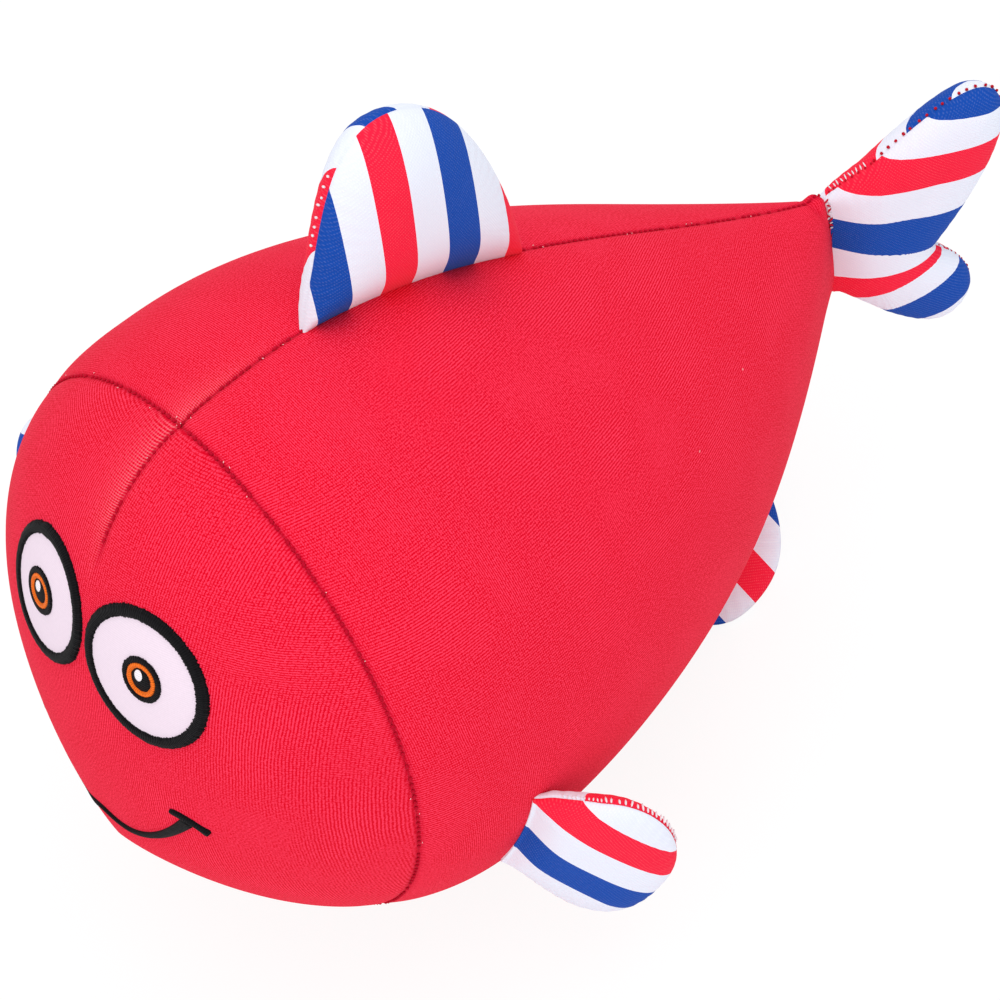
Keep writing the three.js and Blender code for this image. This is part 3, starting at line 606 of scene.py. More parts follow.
# the seam value holds painted shade for the seam grooves and the tail fold
seam_shade_layer = skin.verts.layers.float.new("seam")
stretch_layer = skin.verts.layers.float.new("stretch")
skin_places = {}
for vertex in skin.verts:
    share = math.acos(max(-1, min(1, vertex.co.z))) / math.pi * SKIN_RINGS / (SKIN_RINGS - 1)
    turn = math.atan2(vertex.co.y, vertex.co.x)
    off_seam = abs(turn) - BACK
    angle = math.copysign(BACK + off_seam - SEAM_CROWDING * math.sin(2 * off_seam) / 2, turn)
    station = skin_station(share, angle)
    skin_places[vertex] = (station, angle)
    vertex.co = skin_point(station, angle)
    if abs(vertex.co.x) < 1e-7:
        vertex.co.x = 0
turn_outwards(skin, place(0, BELLY_STATION, 0))
outward_normals = {vertex: vertex.normal.copy() for vertex in skin.verts}
for vertex, (station, angle) in skin_places.items():
    lift, vertex[seam_shade_layer] = skin_lift(station, angle, vertex.co)
    vertex[stretch_layer] = knit_stretch(station, angle, vertex.co)
    normal = outward_normals[vertex]
    if vertex.co.x == 0:
        normal = Vector((0, normal.y, normal.z)).normalized()
    vertex.co += normal * lift
    vertex.co.z = max(0, vertex.co.z)
print("skin of", len(skin.verts), "points")

# %% [markdown]
# ## Cutting the panels
# The face panel and the two side panels share the skin's points along their seams, so they meet without a gap.
# Each panel gets a flat map of its cloth: spread from the nose for the face, along the flank for the sides. A
# Solidify modifier gives it the thickness of foam-backed cloth, less near the tail end, where there is no room.

# %% Cutting the panels
CLOTH_THICKNESS = 2.2 * MM
THINNING_STATION, THINNING_RUN = 170 * MM, 20 * MM
THINNEST = 0.03
ROOM_SHARE = 0.7


def new_piece(name, mesh_tool, material, slot):
    """A smooth object from a bmesh, with its finish."""
    piece = to_object(name, mesh_tool, material)
    piece.data.polygons.foreach_set("use_smooth", [True] * len(piece.data.polygons))
    return piece


def panel_of(face):
    behind_seam = sum(skin_places[vertex][0] - face_seam(skin_places[vertex][1]) for vertex in face.verts)
    if behind_seam < 0:
        return "face"
    return "left" if face.calc_center_median().x > 0 else "right"


def cloth_place(panel, station, angle, point):
    """Where a point of the skin lies on its flat cloth, in metres."""
    if panel == "face":
        offset = point - place(0, 0, -NOSE_DROP)
        spread = offset.length / max(math.hypot(offset.x, offset.z), TINY)
        return offset.z * spread, offset.x * spread
    half_width, top, bottom, widest = section(station)
    radius = math.sqrt((half_width**2 + ((top - bottom) / 2) ** 2) / 2)
    turn = angle if panel == "left" else math.copysign(math.pi, angle) - angle
    return station, radius * turn


def cut_panel(panel, name, node):
    cut = skin.copy()
    cut.faces.ensure_lookup_table()
    uv = cut.loops.layers.uv.new("cloth")
    for face in cut.faces:
        if panel_names[face.index] == panel:
            for loop in face.loops:
                loop[uv].uv = flat_places[panel][loop.vert.index]
    strangers = [face for face in cut.faces if panel_names[face.index] != panel]
    bmesh.ops.delete(cut, geom=strangers, context="FACES")
    piece = new_piece(name, cut, red_cloth, "red_cloth")
    wall = piece.modifiers.new("cloth_thickness", "SOLIDIFY")
    wall.thickness = CLOTH_THICKNESS
    wall.offset = -1
    room = piece.vertex_groups.new(name="room")
    for vertex in piece.data.vertices:
        near_tail = smooth_step((vertex.co.y + BELLY_STATION - THINNING_STATION) / THINNING_RUN)
        thinned = min(1, ROOM_SHARE * abs(vertex.co.x) / CLOTH_THICKNESS)
        room.add([vertex.index], 1 - near_tail * (1 - thinned), "REPLACE")
    wall.vertex_group = room.name
    wall.thickness_vertex_group = THINNEST
    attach(piece, "body")
    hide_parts(node)
    print(name, len(piece.data.polygons), "faces")


skin.verts.index_update()
skin.faces.index_update()
panel_names = [panel_of(face) for face in skin.faces]
flat_places = {panel: {} for panel in ("face", "left", "right")}
for face in skin.faces:
    panel = panel_names[face.index]
    for vertex in face.verts:
        if vertex.index not in flat_places[panel]:
            flat_places[panel][vertex.index] = cloth_place(panel, *skin_places[vertex], vertex.co)
cut_panel("face", "face_cloth", "face_panel")
cut_panel("left", "left_side_cloth", "left_side_panel")
cut_panel("right", "right_side_cloth", "right_side_panel")
skin.free()

# %% [markdown]
# ## Fins
# A fin is two pieces of striped cloth sewn edge to edge, turned and stuffed. A ball flattened between two poles
# has the same parts: its equator becomes the sewn edge, and each half a face. The outline runs as Bezier curves
# in the fin's own plane, u along the seam in the body and v outwards. Thickness swells from the edge as a
# stuffed tube does, and the edge puckers. Cloth near the root blends from body to fin.

# %% Fin builder
FIN_SIDES = 256
FIN_RINGS = 72
STRIPE = 7.8 * MM
EDGE_NOTCH = 0.25 * MM
FIN_PUCKER, FIN_PUCKER_PITCH, FIN_PUCKER_REACH = 0.1 * MM, 3.2 * MM, 3 * MM
ROOT_SINK = 2.0 * MM
ROOT_HALF = 0.9 * MM
ROOT_SLOPE = 0.75
ROOT_ROUND = 4
ROOT_RAMP = 1.2 * MM
LEAN_RUN = 7 * MM
LEAN_START, LEAN_RAMP = 1 * MM, 9 * MM
FLOOR_ROOM = 0.3 * MM
BEND_START = 1 * MM
fins = {}


def bezier_edge(points, steps=40):
    """One line through Bezier pieces: a knot, then two handles and a knot for each piece."""
    line = []
    for first in range(0, len(points) - 1, 3):
        piece = geometry.interpolate_bezier(*(Vector((*point, 0)) for point in points[first : first + 4]), steps)
        line.extend(piece if not line else piece[1:])
    return np.array([point[:2] for point in line])


def run_lengths(points):
    """How far along a line each of its points lies."""
    return np.concatenate([[0], np.cumsum(np.linalg.norm(np.diff(points, axis=0), axis=1))])


def distance_to_edge(points, edge):
    """Distance of each point from a line of short pieces."""
    start, run = edge[:-1], edge[1:] - edge[:-1]
    offset = points[:, None, :] - start[None]
    along = np.clip((offset * run).sum(2) / np.maximum((run * run).sum(1), 1e-18), 0, 1)
    return np.sqrt(((offset - along[..., None] * run) ** 2).sum(2)).min(1)


def rolled(lean):
    """A sewn edge that rolls towards the front face by its lean, starting just above the root."""
    return lambda u, v: lean * np.clip((v - LEAN_START) / LEAN_RAMP, 0, 1)


def make_fin(body, faces, root, free_edge, heart, half_thick, puff_run, root_sag, stripes, bend, lean):
    """A stuffed fin of two striped faces. root is the middle of its seam, the way along it and the way out.
    stripes(u, v, side, bulge) gives the metres across its stripes, and lean(u, v) how far its sewn edge has
    rolled towards its front face. The edge, the front and the ends of the bend are kept in fins."""
    seam, across, outward = root
    front = across.cross(outward)
    half_base = abs(free_edge[-1][0] - free_edge[0][0]) / 2
    mid_base = (free_edge[-1][0] + free_edge[0][0]) / 2

    def sag(u):
        return root_sag * ((u - mid_base) / half_base) ** 2

    root_u = np.linspace(free_edge[-1][0], free_edge[0][0], 40)[1:-1]
    outline = np.concatenate([free_edge, np.stack([root_u, -sag(root_u) - ROOT_SINK], 1), free_edge[:1]])
    lengths = run_lengths(outline)
    fin = bmesh.new()
    bmesh.ops.create_uvsphere(fin, u_segments=FIN_SIDES, v_segments=FIN_RINGS, radius=1)
    co = np.array([vertex.co[:] for vertex in fin.verts])
    share = np.minimum(1, np.sqrt(np.maximum(0, 1 - co[:, 2] ** 2)))
    run_along = (np.arctan2(co[:, 1], co[:, 0]) / (2 * np.pi)) % 1.0 * lengths[-1]
    rim = np.stack([np.interp(run_along, lengths, outline[:, axis]) for axis in (0, 1)], 1)
    flat = heart + share[:, None] * (rim - heart)
    distance = distance_to_edge(flat, free_edge)
    swell = np.sqrt(1 - (1 - np.clip(distance / puff_run, 0, 1)) ** 2)
    puffed = np.maximum(half_thick * swell, 1e-7)
    at_root = ROOT_HALF + ROOT_SLOPE * np.maximum(0, ROOT_RAMP + flat[:, 1] + sag(flat[:, 0]))
    half = (puffed**-ROOT_ROUND + at_root**-ROOT_ROUND) ** (-1 / ROOT_ROUND)
    ripple = np.sin(2 * np.pi * run_along / FIN_PUCKER_PITCH + 1.7 * np.sin(run_along / (9 * MM)))
    ripple *= np.exp(-distance / FIN_PUCKER_REACH) * np.clip(distance / (0.8 * MM), 0, 1)
    half += FIN_PUCKER * ripple
    seam_ring = share > 0.9999
    inward = heart - flat
    inward /= np.maximum(np.linalg.norm(inward, axis=1), TINY)[:, None]
    print_places = flat.copy()
    flat += (seam_ring & (distance < 0.3 * MM))[:, None] * inward * EDGE_NOTCH
    side = np.sign(np.round(co[:, 2], 6))
    height = np.where(seam_ring, 0, side * half) + lean(*flat.T) * np.exp(-distance / LEAN_RUN)
    axes = np.array([across, outward, front])
    places = np.array(seam) + np.column_stack([flat, height]) @ axes
    places[:, 2] = np.maximum(FLOOR_ROOM, places[:, 2])
    for vertex, point in zip(fin.verts, places):
        vertex.co = point
    turn_outwards(fin, Vector(places.mean(0)))
    cloth_uv = fin.loops.layers.uv.new("cloth")
    stripe_uv = fin.loops.layers.uv.new("stripes")
    fin.verts.index_update()
    for face in fin.faces:
        face_side = 1 if sum(co[vertex.index][2] for vertex in face.verts) > 0 else -1
        for loop in face.loops:
            u, v = print_places[loop.vert.index]
            loop[cloth_uv].uv = (u + v, v - u)
            loop[stripe_uv].uv = (stripes(u, v, face_side, half[loop.vert.index]) / (4 * STRIPE), v)
    piece = new_piece(f"{body}_cloth", fin, striped_cloth, "striped_cloth")
    bend_ends = (seam - outward * BEND_START, seam + outward * bend)
    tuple(bend_ends[0])
    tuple(bend_ends[1])
    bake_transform(piece)
    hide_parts(*(f"{body}_{face}_face" for face in faces))
    edge = [seam + across * u + outward * v + front * float(lean(u, v)) for u, v in free_edge]
    fins[body] = (np.array([point[:] for point in edge]), front, *bend_ends)
    print(piece.name, len(piece.data.polygons), "faces,", round(2 * float(half.max()) / MM, 1), "mm thick")


# %% [markdown]
# ## Dorsal fin and belly fin
# Both are sewn into the middle seam: the dorsal fin stands on the back and the belly fin is folded to the left
# under the fish. Their outlines have a full front edge and a sloping rear one, so one function makes both.

# %% Dorsal fin and belly fin
ROOT_GAP = 0.8 * MM
LEAF_PEAK = 16 * MM
leftward = Vector((1, 0, 0))


def make_mid_fin(body, front_station, rear_station, angle, fold, height, heart, *puff, stripes, bend, lean):
    """A fin on the back or belly seam between two stations, folded over by an angle."""
    first, last = skin_point(front_station, angle), skin_point(rear_station, angle)
    seam = skin_point((front_station + rear_station) / 2, angle)
    across = (last - first).normalized()
    half_base = (last - first).length / 2
    sag = abs(((first + last) / 2 - seam).dot(leftward.cross(across)))
    upright = leftward.cross(across) if angle > 0 else across.cross(leftward)
    root = (seam + upright * ROOT_GAP, across, Matrix.Rotation(-fold, 3, across) @ upright)
    foot = -sag - ROOT_SINK
    edge = bezier_edge(
        [
            (-half_base, foot),
            (-half_base + 0.5 * MM, 0.55 * height),
            (-half_base, height),
            (-half_base + LEAF_PEAK, height),
            (-half_base + 2 * LEAF_PEAK, height),
            (0.7 * half_base, 0.4 * height),
            (half_base, foot),
        ]
    )
    middle = np.array([heart[0] * half_base, heart[1] * height])
    make_fin(body, ("left", "right"), root, edge, middle, *puff, sag, stripes, bend, rolled(lean))


def dorsal_stripes(u, v, side, bulge):
    slant = u + 0.296 * v + 0.374 * bulge + 25.3 * MM
    return slant if side > 0 else slant + 1.7 * STRIPE


def belly_stripes(u, v, side, bulge):
    return u - 8.9 * MM + 0.15 * (v - 20 * MM)


dorsal_shape = (72 * MM, 123 * MM, BACK, 0, 39 * MM, (-0.15, 0.4), 9 * MM, 17 * MM)
make_mid_fin("dorsal_fin", *dorsal_shape, stripes=dorsal_stripes, bend=10 * MM, lean=0.35 * MM)
belly_shape = (130 * MM, 170 * MM, BELLY, math.radians(70), 26.5 * MM, (-0.1, 0.42), 4 * MM, 13 * MM)
make_mid_fin("belly_fin", *belly_shape, stripes=belly_stripes, bend=6 * MM, lean=0)

# %% [markdown]
# ## Side fins
# Each side fin is sewn into a slit down the flank. The left one lies swept back, the right one has flipped
# forwards and up, so the same outline is sheared along its seam to follow the bend.

# %% Side fins
SLIT_TOP, SLIT_MIDDLE, SLIT_BOTTOM = (60.5, -7), (57.5, -18.5), (54.5, -30)
SIDE_FIN_LENGTH = 31 * MM
SIDE_FIN_FLARE = 8 * MM


def side_point(spot, side):
    """A point of the flank, from its station and rise in millimetres."""
    station, rise = spot[0] * MM, spot[1] * MM
    half_width, high = height_share(station, rise)
    return place(side * half_width * math.sqrt(1 - high**2), station, rise)


def make_side_fin(body, side, sweep, lift, stripes, lean):
    top, seam, bottom = (side_point(spot, side) for spot in (SLIT_TOP, SLIT_MIDDLE, SLIT_BOTTOM))
    bow = (seam - (top + bottom) / 2).length
    across = (bottom - top).normalized()
    half_base = (bottom - top).length / 2
    level = math.cos(lift)
    bent = Vector((side * math.cos(sweep) * level, math.sin(sweep) * level, math.sin(lift)))
    slip = bent.dot(across)
    outward = bent - across * slip
    shear = slip / outward.length
    outward.normalize()
    wide, length = half_base + SIDE_FIN_FLARE, SIDE_FIN_LENGTH
    half_edge = [(half_base, -bow - ROOT_SINK), (half_base, 0), (wide, 0.3 * length), (wide, 0.52 * length)]
    half_edge += [(wide, 0.86 * length), (0.5 * wide, length)]
    edge = bezier_edge([(-u, v) for u, v in half_edge] + [(0, length)] + half_edge[::-1], 24)
    edge[:, 0] += shear * np.maximum(0, edge[:, 1])
    heart = np.array([shear * 0.45 * length, 0.45 * length])

    def top_rolled(u, v):
        return rolled(lean)(u, v) * np.clip((shear * v + 4 * MM - u) / (12 * MM), 0, 1)

    root = (seam + leftward * side * ROOT_GAP, across, outward)
    make_fin(body, ("front", "rear"), root, edge, heart, 5.5 * MM, 15 * MM, bow, stripes, 8 * MM, top_rolled)


def left_stripes(u, v, side, bulge):
    if side > 0:
        return 0.913 * u - 0.541 * v + 0.25 * bulge + 32.7 * MM
    return 7 * MM - 0.385 * u + 0.4235 * v


def right_stripes(u, v, side, bulge):
    return u + 20 * MM if side > 0 else u + 22.8 * MM


make_side_fin("left_side_fin", 1, math.radians(53), math.radians(-41), left_stripes, 1.2 * MM)
make_side_fin("right_side_fin", -1, math.radians(-35), math.radians(12), right_stripes, 0)

# %% [markdown]
# ## Tail fin
# Two rounded lobes with a notch between them, turned a little to the left. Its stripes slope across the upper
# lobe and swing round into the lower one, so their bounds are given as lines that shift with v.

# %% Tail fin
TAIL_TURN = math.radians(20)
TAIL_BOUNDS = ((-32.5, 0.17), (-24.7, 0.17), (-16.9, 0.2), (-9.1, 0.25), (0.2, 0.34), (9.3, 0.05), (17.2, -0.22))
TAIL_BOUNDS += ((24.5, -0.27),)
TAIL_FAR_SHIFTS = (3.3, 0.9, 2.3, 2.3, 2.3, 2.3, 2.3, 2.3)
LOBE = 12 * MM
UPPER_REACH, UPPER_RISE = 41 * MM, 33 * MM
LOWER_REACH, LOWER_DROP = 31 * MM, 32 * MM
NOTCH_REACH, NOTCH_DROP = 22 * MM, 9 * MM


def tail_stripes(u, v, side, bulge):
    u += 0.1 * bulge
    bounds = [start * MM + slope * v for start, slope in TAIL_BOUNDS]
    if side < 0:
        bounds = [bound + shift * MM for bound, shift in zip(bounds, TAIL_FAR_SHIFTS)]
    if u < bounds[0]:
        return (u - bounds[0]) * (1 if side > 0 else 1.2) - 3 * STRIPE
    if u > bounds[-1]:
        return 4 * STRIPE + (u - bounds[-1]) * 0.84
    return float(np.interp(u, bounds, [step * STRIPE for step in range(-3, 5)]))


tail_half = (TAIL_END_RISE + TAIL_END_DROP) / 2
tail_seam = place(0, BODY_LENGTH + ROOT_GAP, (TAIL_END_RISE - TAIL_END_DROP) / 2)
tail_across = Vector((0, 0, -1))
tail_outward = Vector((math.sin(TAIL_TURN), math.cos(TAIL_TURN), 0))
tail_line = bezier_edge(
    [
        (-tail_half, 0),
        (-tail_half - LOBE, 0.45 * UPPER_REACH),
        (-UPPER_RISE - 0.3 * LOBE, UPPER_REACH - 0.5 * LOBE),
        (-UPPER_RISE + 0.4 * LOBE, UPPER_REACH - 0.1 * LOBE),
        (-UPPER_RISE + LOBE, UPPER_REACH + 0.2 * LOBE),
        (NOTCH_DROP - 1.3 * LOBE, UPPER_REACH - 0.3 * LOBE),
        (NOTCH_DROP, NOTCH_REACH),
        (NOTCH_DROP + 0.5 * LOBE, NOTCH_REACH + 0.5 * LOBE),
        (LOWER_DROP - 0.8 * LOBE, LOWER_REACH + 0.3 * LOBE),
        (LOWER_DROP - 0.2 * LOBE, LOWER_REACH - 0.2 * LOBE),
        (LOWER_DROP + 0.5 * LOBE, LOWER_REACH - 0.9 * LOBE),
        (tail_half + 0.9 * LOBE, 0.4 * LOWER_REACH),
        (tail_half, 0),
    ]
)
tail_root = (tail_seam, tail_across, tail_outward)
tail_shape = (tail_line, np.array([10 * MM, 7 * MM]), 7.5 * MM, 12 * MM, 0)
make_fin("tail_fin", ("left", "right"), tail_root, *tail_shape, tail_stripes, 8 * MM, rolled(2.5 * MM))

# %% [markdown]
# ## Embroidery
# The eyes and mouth are thread on the face panel. Each patch is a flattened ball whose points are dropped on to
# the face along the eye's own direction, and each border a closed ring of satin stitch, so both follow the dome.
# Flat decals would cut into it.

# %% Embroidery helpers
EYE_RISE = 40.2 * MM
EYE_SPREADS = {1: 16.1 * MM, -1: 13.7 * MM}
DROP_RANGE = 25 * MM
RING_STEPS, RING_SIDES = 440, 12
RAGGED, RAGGED_PITCH = 0.3, 1.6 * MM


def halved(low, high, tolerance, outside):
    """The value where a test turns true, by halving the range."""
    while high - low > tolerance:
        middle = (low + high) / 2
        low, high = (low, middle) if outside(middle) else (middle, high)
    return high


def outside_body(x, station, rise):
    half_width, high = height_share(station, rise)
    return (x / max(half_width, TINY)) ** 2 + high**2 > 1


def face_point(x, rise):
    station = halved(0, WIDEST_STATION, 1e-7, lambda station: not outside_body(x, station, rise))
    return place(x, station, rise)


def face_normal(x, rise):
    step = 1 * MM
    rightwards = face_point(x + step, rise) - face_point(x - step, rise)
    upwards = face_point(x, rise + step) - face_point(x, rise - step)
    return rightwards.cross(upwards).normalized()


def drop_on_face(point, out):
    """The point of the face under a point, along a direction that leaves the face."""

    def outside(way):
        x, y, z = point + out * way
        station = y + BELLY_STATION
        return station <= 0 or outside_body(x, station, z - BELLY_DROP + REST_CUT)

    return point + out * halved(-DROP_RANGE, DROP_RANGE, 1e-6, outside)


def sew_on_eye(name, node, side, material, slot, sizes, shift):
    """Embroidery round an eye's middle: a ball pressed flat or, with a band, a ring of satin stitch that is ragged
    along its edges. Sizes are half width, half height, base, how proud it stands and band, in millimetres."""
    half_width, half_height, base, proud, band = (size * MM for size in sizes)
    x = side * EYE_SPREADS[side]
    out = face_normal(x, EYE_RISE)
    right = Vector((0, 0, 1)).cross(out).normalized()
    up = out.cross(right)
    middle = face_point(x, EYE_RISE) + right * shift[0] * MM + up * shift[1] * MM
    girth = math.pi * (half_width + half_height - band)
    thread = bmesh.new()
    if band:
        bmesh.ops.create_grid(thread, x_segments=RING_STEPS, y_segments=RING_SIDES, size=1)
    else:
        bmesh.ops.create_uvsphere(thread, u_segments=64, v_segments=20, radius=1)
    uv = thread.loops.layers.uv.new("thread")
    for vertex in thread.verts:
        across, high, deep = vertex.co
        if band:
            thread_place = ((high + 1) / 2 * band, (across + 1) / 2 * girth)
            turn, roll = math.pi * (across + 1), math.pi * (high + 1)
            around = Vector((math.cos(turn), math.sin(turn), 0.3 * side))
            ragged = 1 + RAGGED * noise.noise(around * girth / RAGGED_PITCH)
            reach = band / 2 * (math.cos(roll) * ragged - 1)
            across, high = (half_width + reach) * math.cos(turn), (half_height + reach) * math.sin(turn)
            deep = math.sin(roll)
        else:
            across, high = across * half_width, high * half_height
            thread_place = (across, high)
        for loop in vertex.link_loops:
            loop[uv].uv = thread_place
        vertex.co = drop_on_face(middle + right * across + up * high, out) + out * (base + proud * deep)
    if band:
        bmesh.ops.remove_doubles(thread, verts=thread.verts, dist=1e-7)
        bmesh.ops.recalc_face_normals(thread, faces=thread.faces)
    piece = new_piece(name, thread, material, slot)
    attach(piece, "body")
    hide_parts(node)


print("left eye on the face at", [round(value / MM, 1) for value in face_point(EYE_SPREADS[1], EYE_RISE)], "mm")

# %% [markdown]
# ## Eyes
# A white patch, a black satin border, then the iris: a black ring, an orange ring, a black pupil and a white
# glint above its middle. Each could be modelled alone, but a table of sizes in millimetres keeps both eyes alike.
# Only the place and the width differ: the right eye is sewn narrower and nearer the middle, as in the photograph.

# %% Eyes
EYE_HALF_WIDTHS = {1: 15.4, -1: 13.3}
EYE_HALF_HEIGHT = 14.6
EYE_BORDER = 2.6
IRIS, IRIS_RING, ORANGE_RING = 4.8, 1.35, 1.1
PUPIL = 2.5
GLINT = 0.95

inset = 0.6 * EYE_BORDER
inner = IRIS - IRIS_RING + 0.1
for side, eye in ((1, "left_eye"), (-1, "right_eye")):
    wide, tall = EYE_HALF_WIDTHS[side], EYE_HALF_HEIGHT
    gaze = (side * 0.7, 0.4)
    spark = (gaze[0] - 0.5, gaze[1] + 0.85)
    for part, node, material, slot, sizes, shift in (
        ("patch", "white", eye_cloth, "eye_white_cloth", (wide - inset, tall - inset, 0.35, 0.55, 0), (0, 0)),
        ("satin_border", "border", black_thread, "black_thread", (wide, tall, 0.2, 0.95, EYE_BORDER), (0, 0)),
        ("iris_line", "iris_outline", black_thread, "black_thread", (IRIS, IRIS, 0.95, 0.4, IRIS_RING), gaze),
        ("iris_ring", "iris", orange_thread, "orange_thread", (inner, inner, 0.95, 0.4, ORANGE_RING), gaze),
        ("pupil_dot", "pupil", black_thread, "black_thread", (PUPIL, PUPIL, 0.9, 0.35, 0), gaze),
        ("glint_dot", "glint", white_thread, "white_thread", (GLINT, 1.3 * GLINT, 1.2, 0.25, 0), spark),
    ):
        sew_on_eye(f"{eye}_{part}", f"{eye}_{node}", side, material, slot, sizes, shift)
print("two eyes embroidered")

# %% [markdown]
# ## Mouth
# The smile is one line of satin stitch, thin in the middle and full towards its ends, with a short dimple
# across each end. It is sewn lower on the right, where the photograph no longer shows it, and lies flatter there.
# A strip of grid is rolled into a closed cord, laid on the face, and its width follows the line.

# %% Mouth
SMILE_HALF_WIDTH = 26 * MM
SMILE_RISE = 18 * MM
SMILE_DROP = 9 * MM
RIGHT_SAG, RIGHT_END_SAG = 5.9 * MM, 3 * MM
SMILE_THIN, SMILE_FULL, SMILE_PROUD = 0.45 * MM, 1.0 * MM, 0.75 * MM
FLAT_PROUD = 0.05 * MM
DIMPLE_HALF_WIDTH, DIMPLE_KNOB = 0.85 * MM, 0.75 * MM
DIMPLE_STEPS = 41
DIMPLE_LEVEL, DIMPLE_SLOPE, DIMPLE_BOW = 0.94, 0.34, 0.2


def sewn_line(strip, line, widths, proud):
    """Adds a stitched line to a mesh: points of x and rise on the face, with a half width at each."""
    made = bmesh.ops.create_grid(strip, x_segments=len(line) - 1, y_segments=12, size=1)["verts"]
    uv = strip.loops.layers.uv.verify()
    lengths = run_lengths(line)
    slopes = np.gradient(line, axis=0)
    slopes /= np.linalg.norm(slopes, axis=1)[:, None]
    for vertex in made:
        step = round((vertex.co.x + 1) / 2 * (len(line) - 1))
        roll = math.pi * (vertex.co.y + 1)
        for loop in vertex.link_loops:
            loop[uv].uv = (roll * widths[step] / math.pi, lengths[step])
        aside = widths[step] * math.cos(roll)
        x = line[step][0] - slopes[step][1] * aside
        rise = line[step][1] + slopes[step][0] * aside
        on_face = face_point(x, rise)
        fade = min(1, widths[step] / (0.5 * MM))
        lump = LUMP * noise.noise(on_face / LUMP_SIZE)
        vertex.co = on_face + face_normal(x, rise) * (lump + proud[step] * math.sin(roll) * fade)
    bmesh.ops.remove_doubles(strip, verts=made, dist=1e-7)


def to_the_right(start, run):
    """A ramp along the smile, from its middle towards its right end."""
    return np.array([smooth_step((-share - start) / run) for share in shares])


mouth = bmesh.new()
mouth.loops.layers.uv.new("thread")
shares = np.linspace(-1, 1, 121)
smile = np.stack([shares * SMILE_HALF_WIDTH, SMILE_RISE * shares**2 - SMILE_DROP], 1)
smile[:, 1] -= RIGHT_SAG * to_the_right(0.02, 0.53) + RIGHT_END_SAG * to_the_right(0.6, 0.4)
flat_stitch = to_the_right(0.12, 0.3)
fullness = (SMILE_THIN + SMILE_FULL * np.abs(shares) ** 2.2) * (1 - 0.4 * flat_stitch)
fullness *= np.clip((1 - np.abs(shares)) / 0.03, 0, 1)
sewn_line(mouth, smile, fullness, SMILE_PROUD + (FLAT_PROUD - SMILE_PROUD) * flat_stitch)
bend = np.linspace(-1, 1, DIMPLE_STEPS)
knob = DIMPLE_KNOB * np.exp(-(((bend - 0.9) / 0.2) ** 2))
dimple_widths = (DIMPLE_HALF_WIDTH + knob) * np.sqrt(np.clip(1 - bend**6, 0, 1))
for side, half_length, proud in ((-1, 3 * MM, FLAT_PROUD), (1, 4.4 * MM, 0.7 * MM)):
    end = smile[-1 if side > 0 else 0]
    along = np.array([side * DIMPLE_LEVEL, -DIMPLE_SLOPE])
    droop = np.array([side * DIMPLE_SLOPE, DIMPLE_LEVEL])
    dimple = end + half_length * (bend[:, None] * along - DIMPLE_BOW * bend[:, None] ** 2 * droop)
    sewn_line(mouth, dimple, dimple_widths, np.full(DIMPLE_STEPS, proud))
bmesh.ops.recalc_face_normals(mouth, faces=mouth.faces)
mouth_line = new_piece("mouth_line", mouth, black_thread, "black_thread")
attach(mouth_line, "body")
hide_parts("mouth_stitching")
print("mouth of", len(mouth_line.data.polygons), "faces")

# %% [markdown]
# ## Thread in the seams
# Along each seam the thread shows as small dark stitches down in the line and as pale specks where the needle
# has opened the knit. Each stitch is a small bead of twenty faces, stretched along its thread and seated in the
# groove. A seeded generator skips and turns some, as sewing does.

# %% Thread in the seams
STITCH_PITCH = 1.6 * MM
STITCH_CHANCE, STITCH_TURN, STITCH_RAISED = 0.85, 0.45, 0.22 * MM
STITCH_LENGTH, STITCH_SPREAD, STITCH_WIDTH = 1.1, 0.3, 0.72 * MM
SPECK_CHANCE, CROSSING_CHANCE, CROSSING_REACH = 0.09, 0.5, 9 * MM
SPECK_WIDTH, SPECK_ONE_SIDE = 0.2 * MM, 0.75
chance = np.random.default_rng(7)


def add_stitch(beads, spot, along, normal, length, width):
    """One bead of thread: a small ball stretched along its run."""
    side = normal.cross(along).normalized()
    axes = Matrix((along.normalized() * length / 2, side * width / 2, normal.normalized() * width / 2))
    matrix = Matrix.Translation(spot) @ axes.transposed().to_4x4()
    bmesh.ops.create_icosphere(beads, subdivisions=1, radius=1, matrix=matrix)


def seam_points(curve, pitch):
    """Points at an even pitch along a curve of the skin, each with its direction and outward normal."""
    lengths = run_lengths(np.array([point[:] for point, normal in curve]))
    for stop in np.arange(pitch / 2, lengths[-1], pitch):
        step = min(int(np.searchsorted(lengths, stop)), len(curve) - 1)
        (before, first_normal), (after, second_normal) = curve[step - 1], curve[step]
        share = (stop - lengths[step - 1]) / max(lengths[step] - lengths[step - 1], TINY)
        normal = first_normal.lerp(second_normal, share).normalized()
        yield before.lerp(after, share), (after - before).normalized(), normal


def seated(station, angle):
    """A point at the bottom of a seam, with the skin's outward normal."""
    step, turn = 0.2 * MM, 0.01
    along = skin_point(station + step, angle) - skin_point(station - step, angle)
    around = skin_point(station, angle + turn) - skin_point(station, angle - turn)
    normal = along.cross(around).normalized()
    point = skin_point(station, angle)
    point = point + normal * skin_lift(station, angle, point)[0]
    point.z = max(0, point.z)
    return point, normal


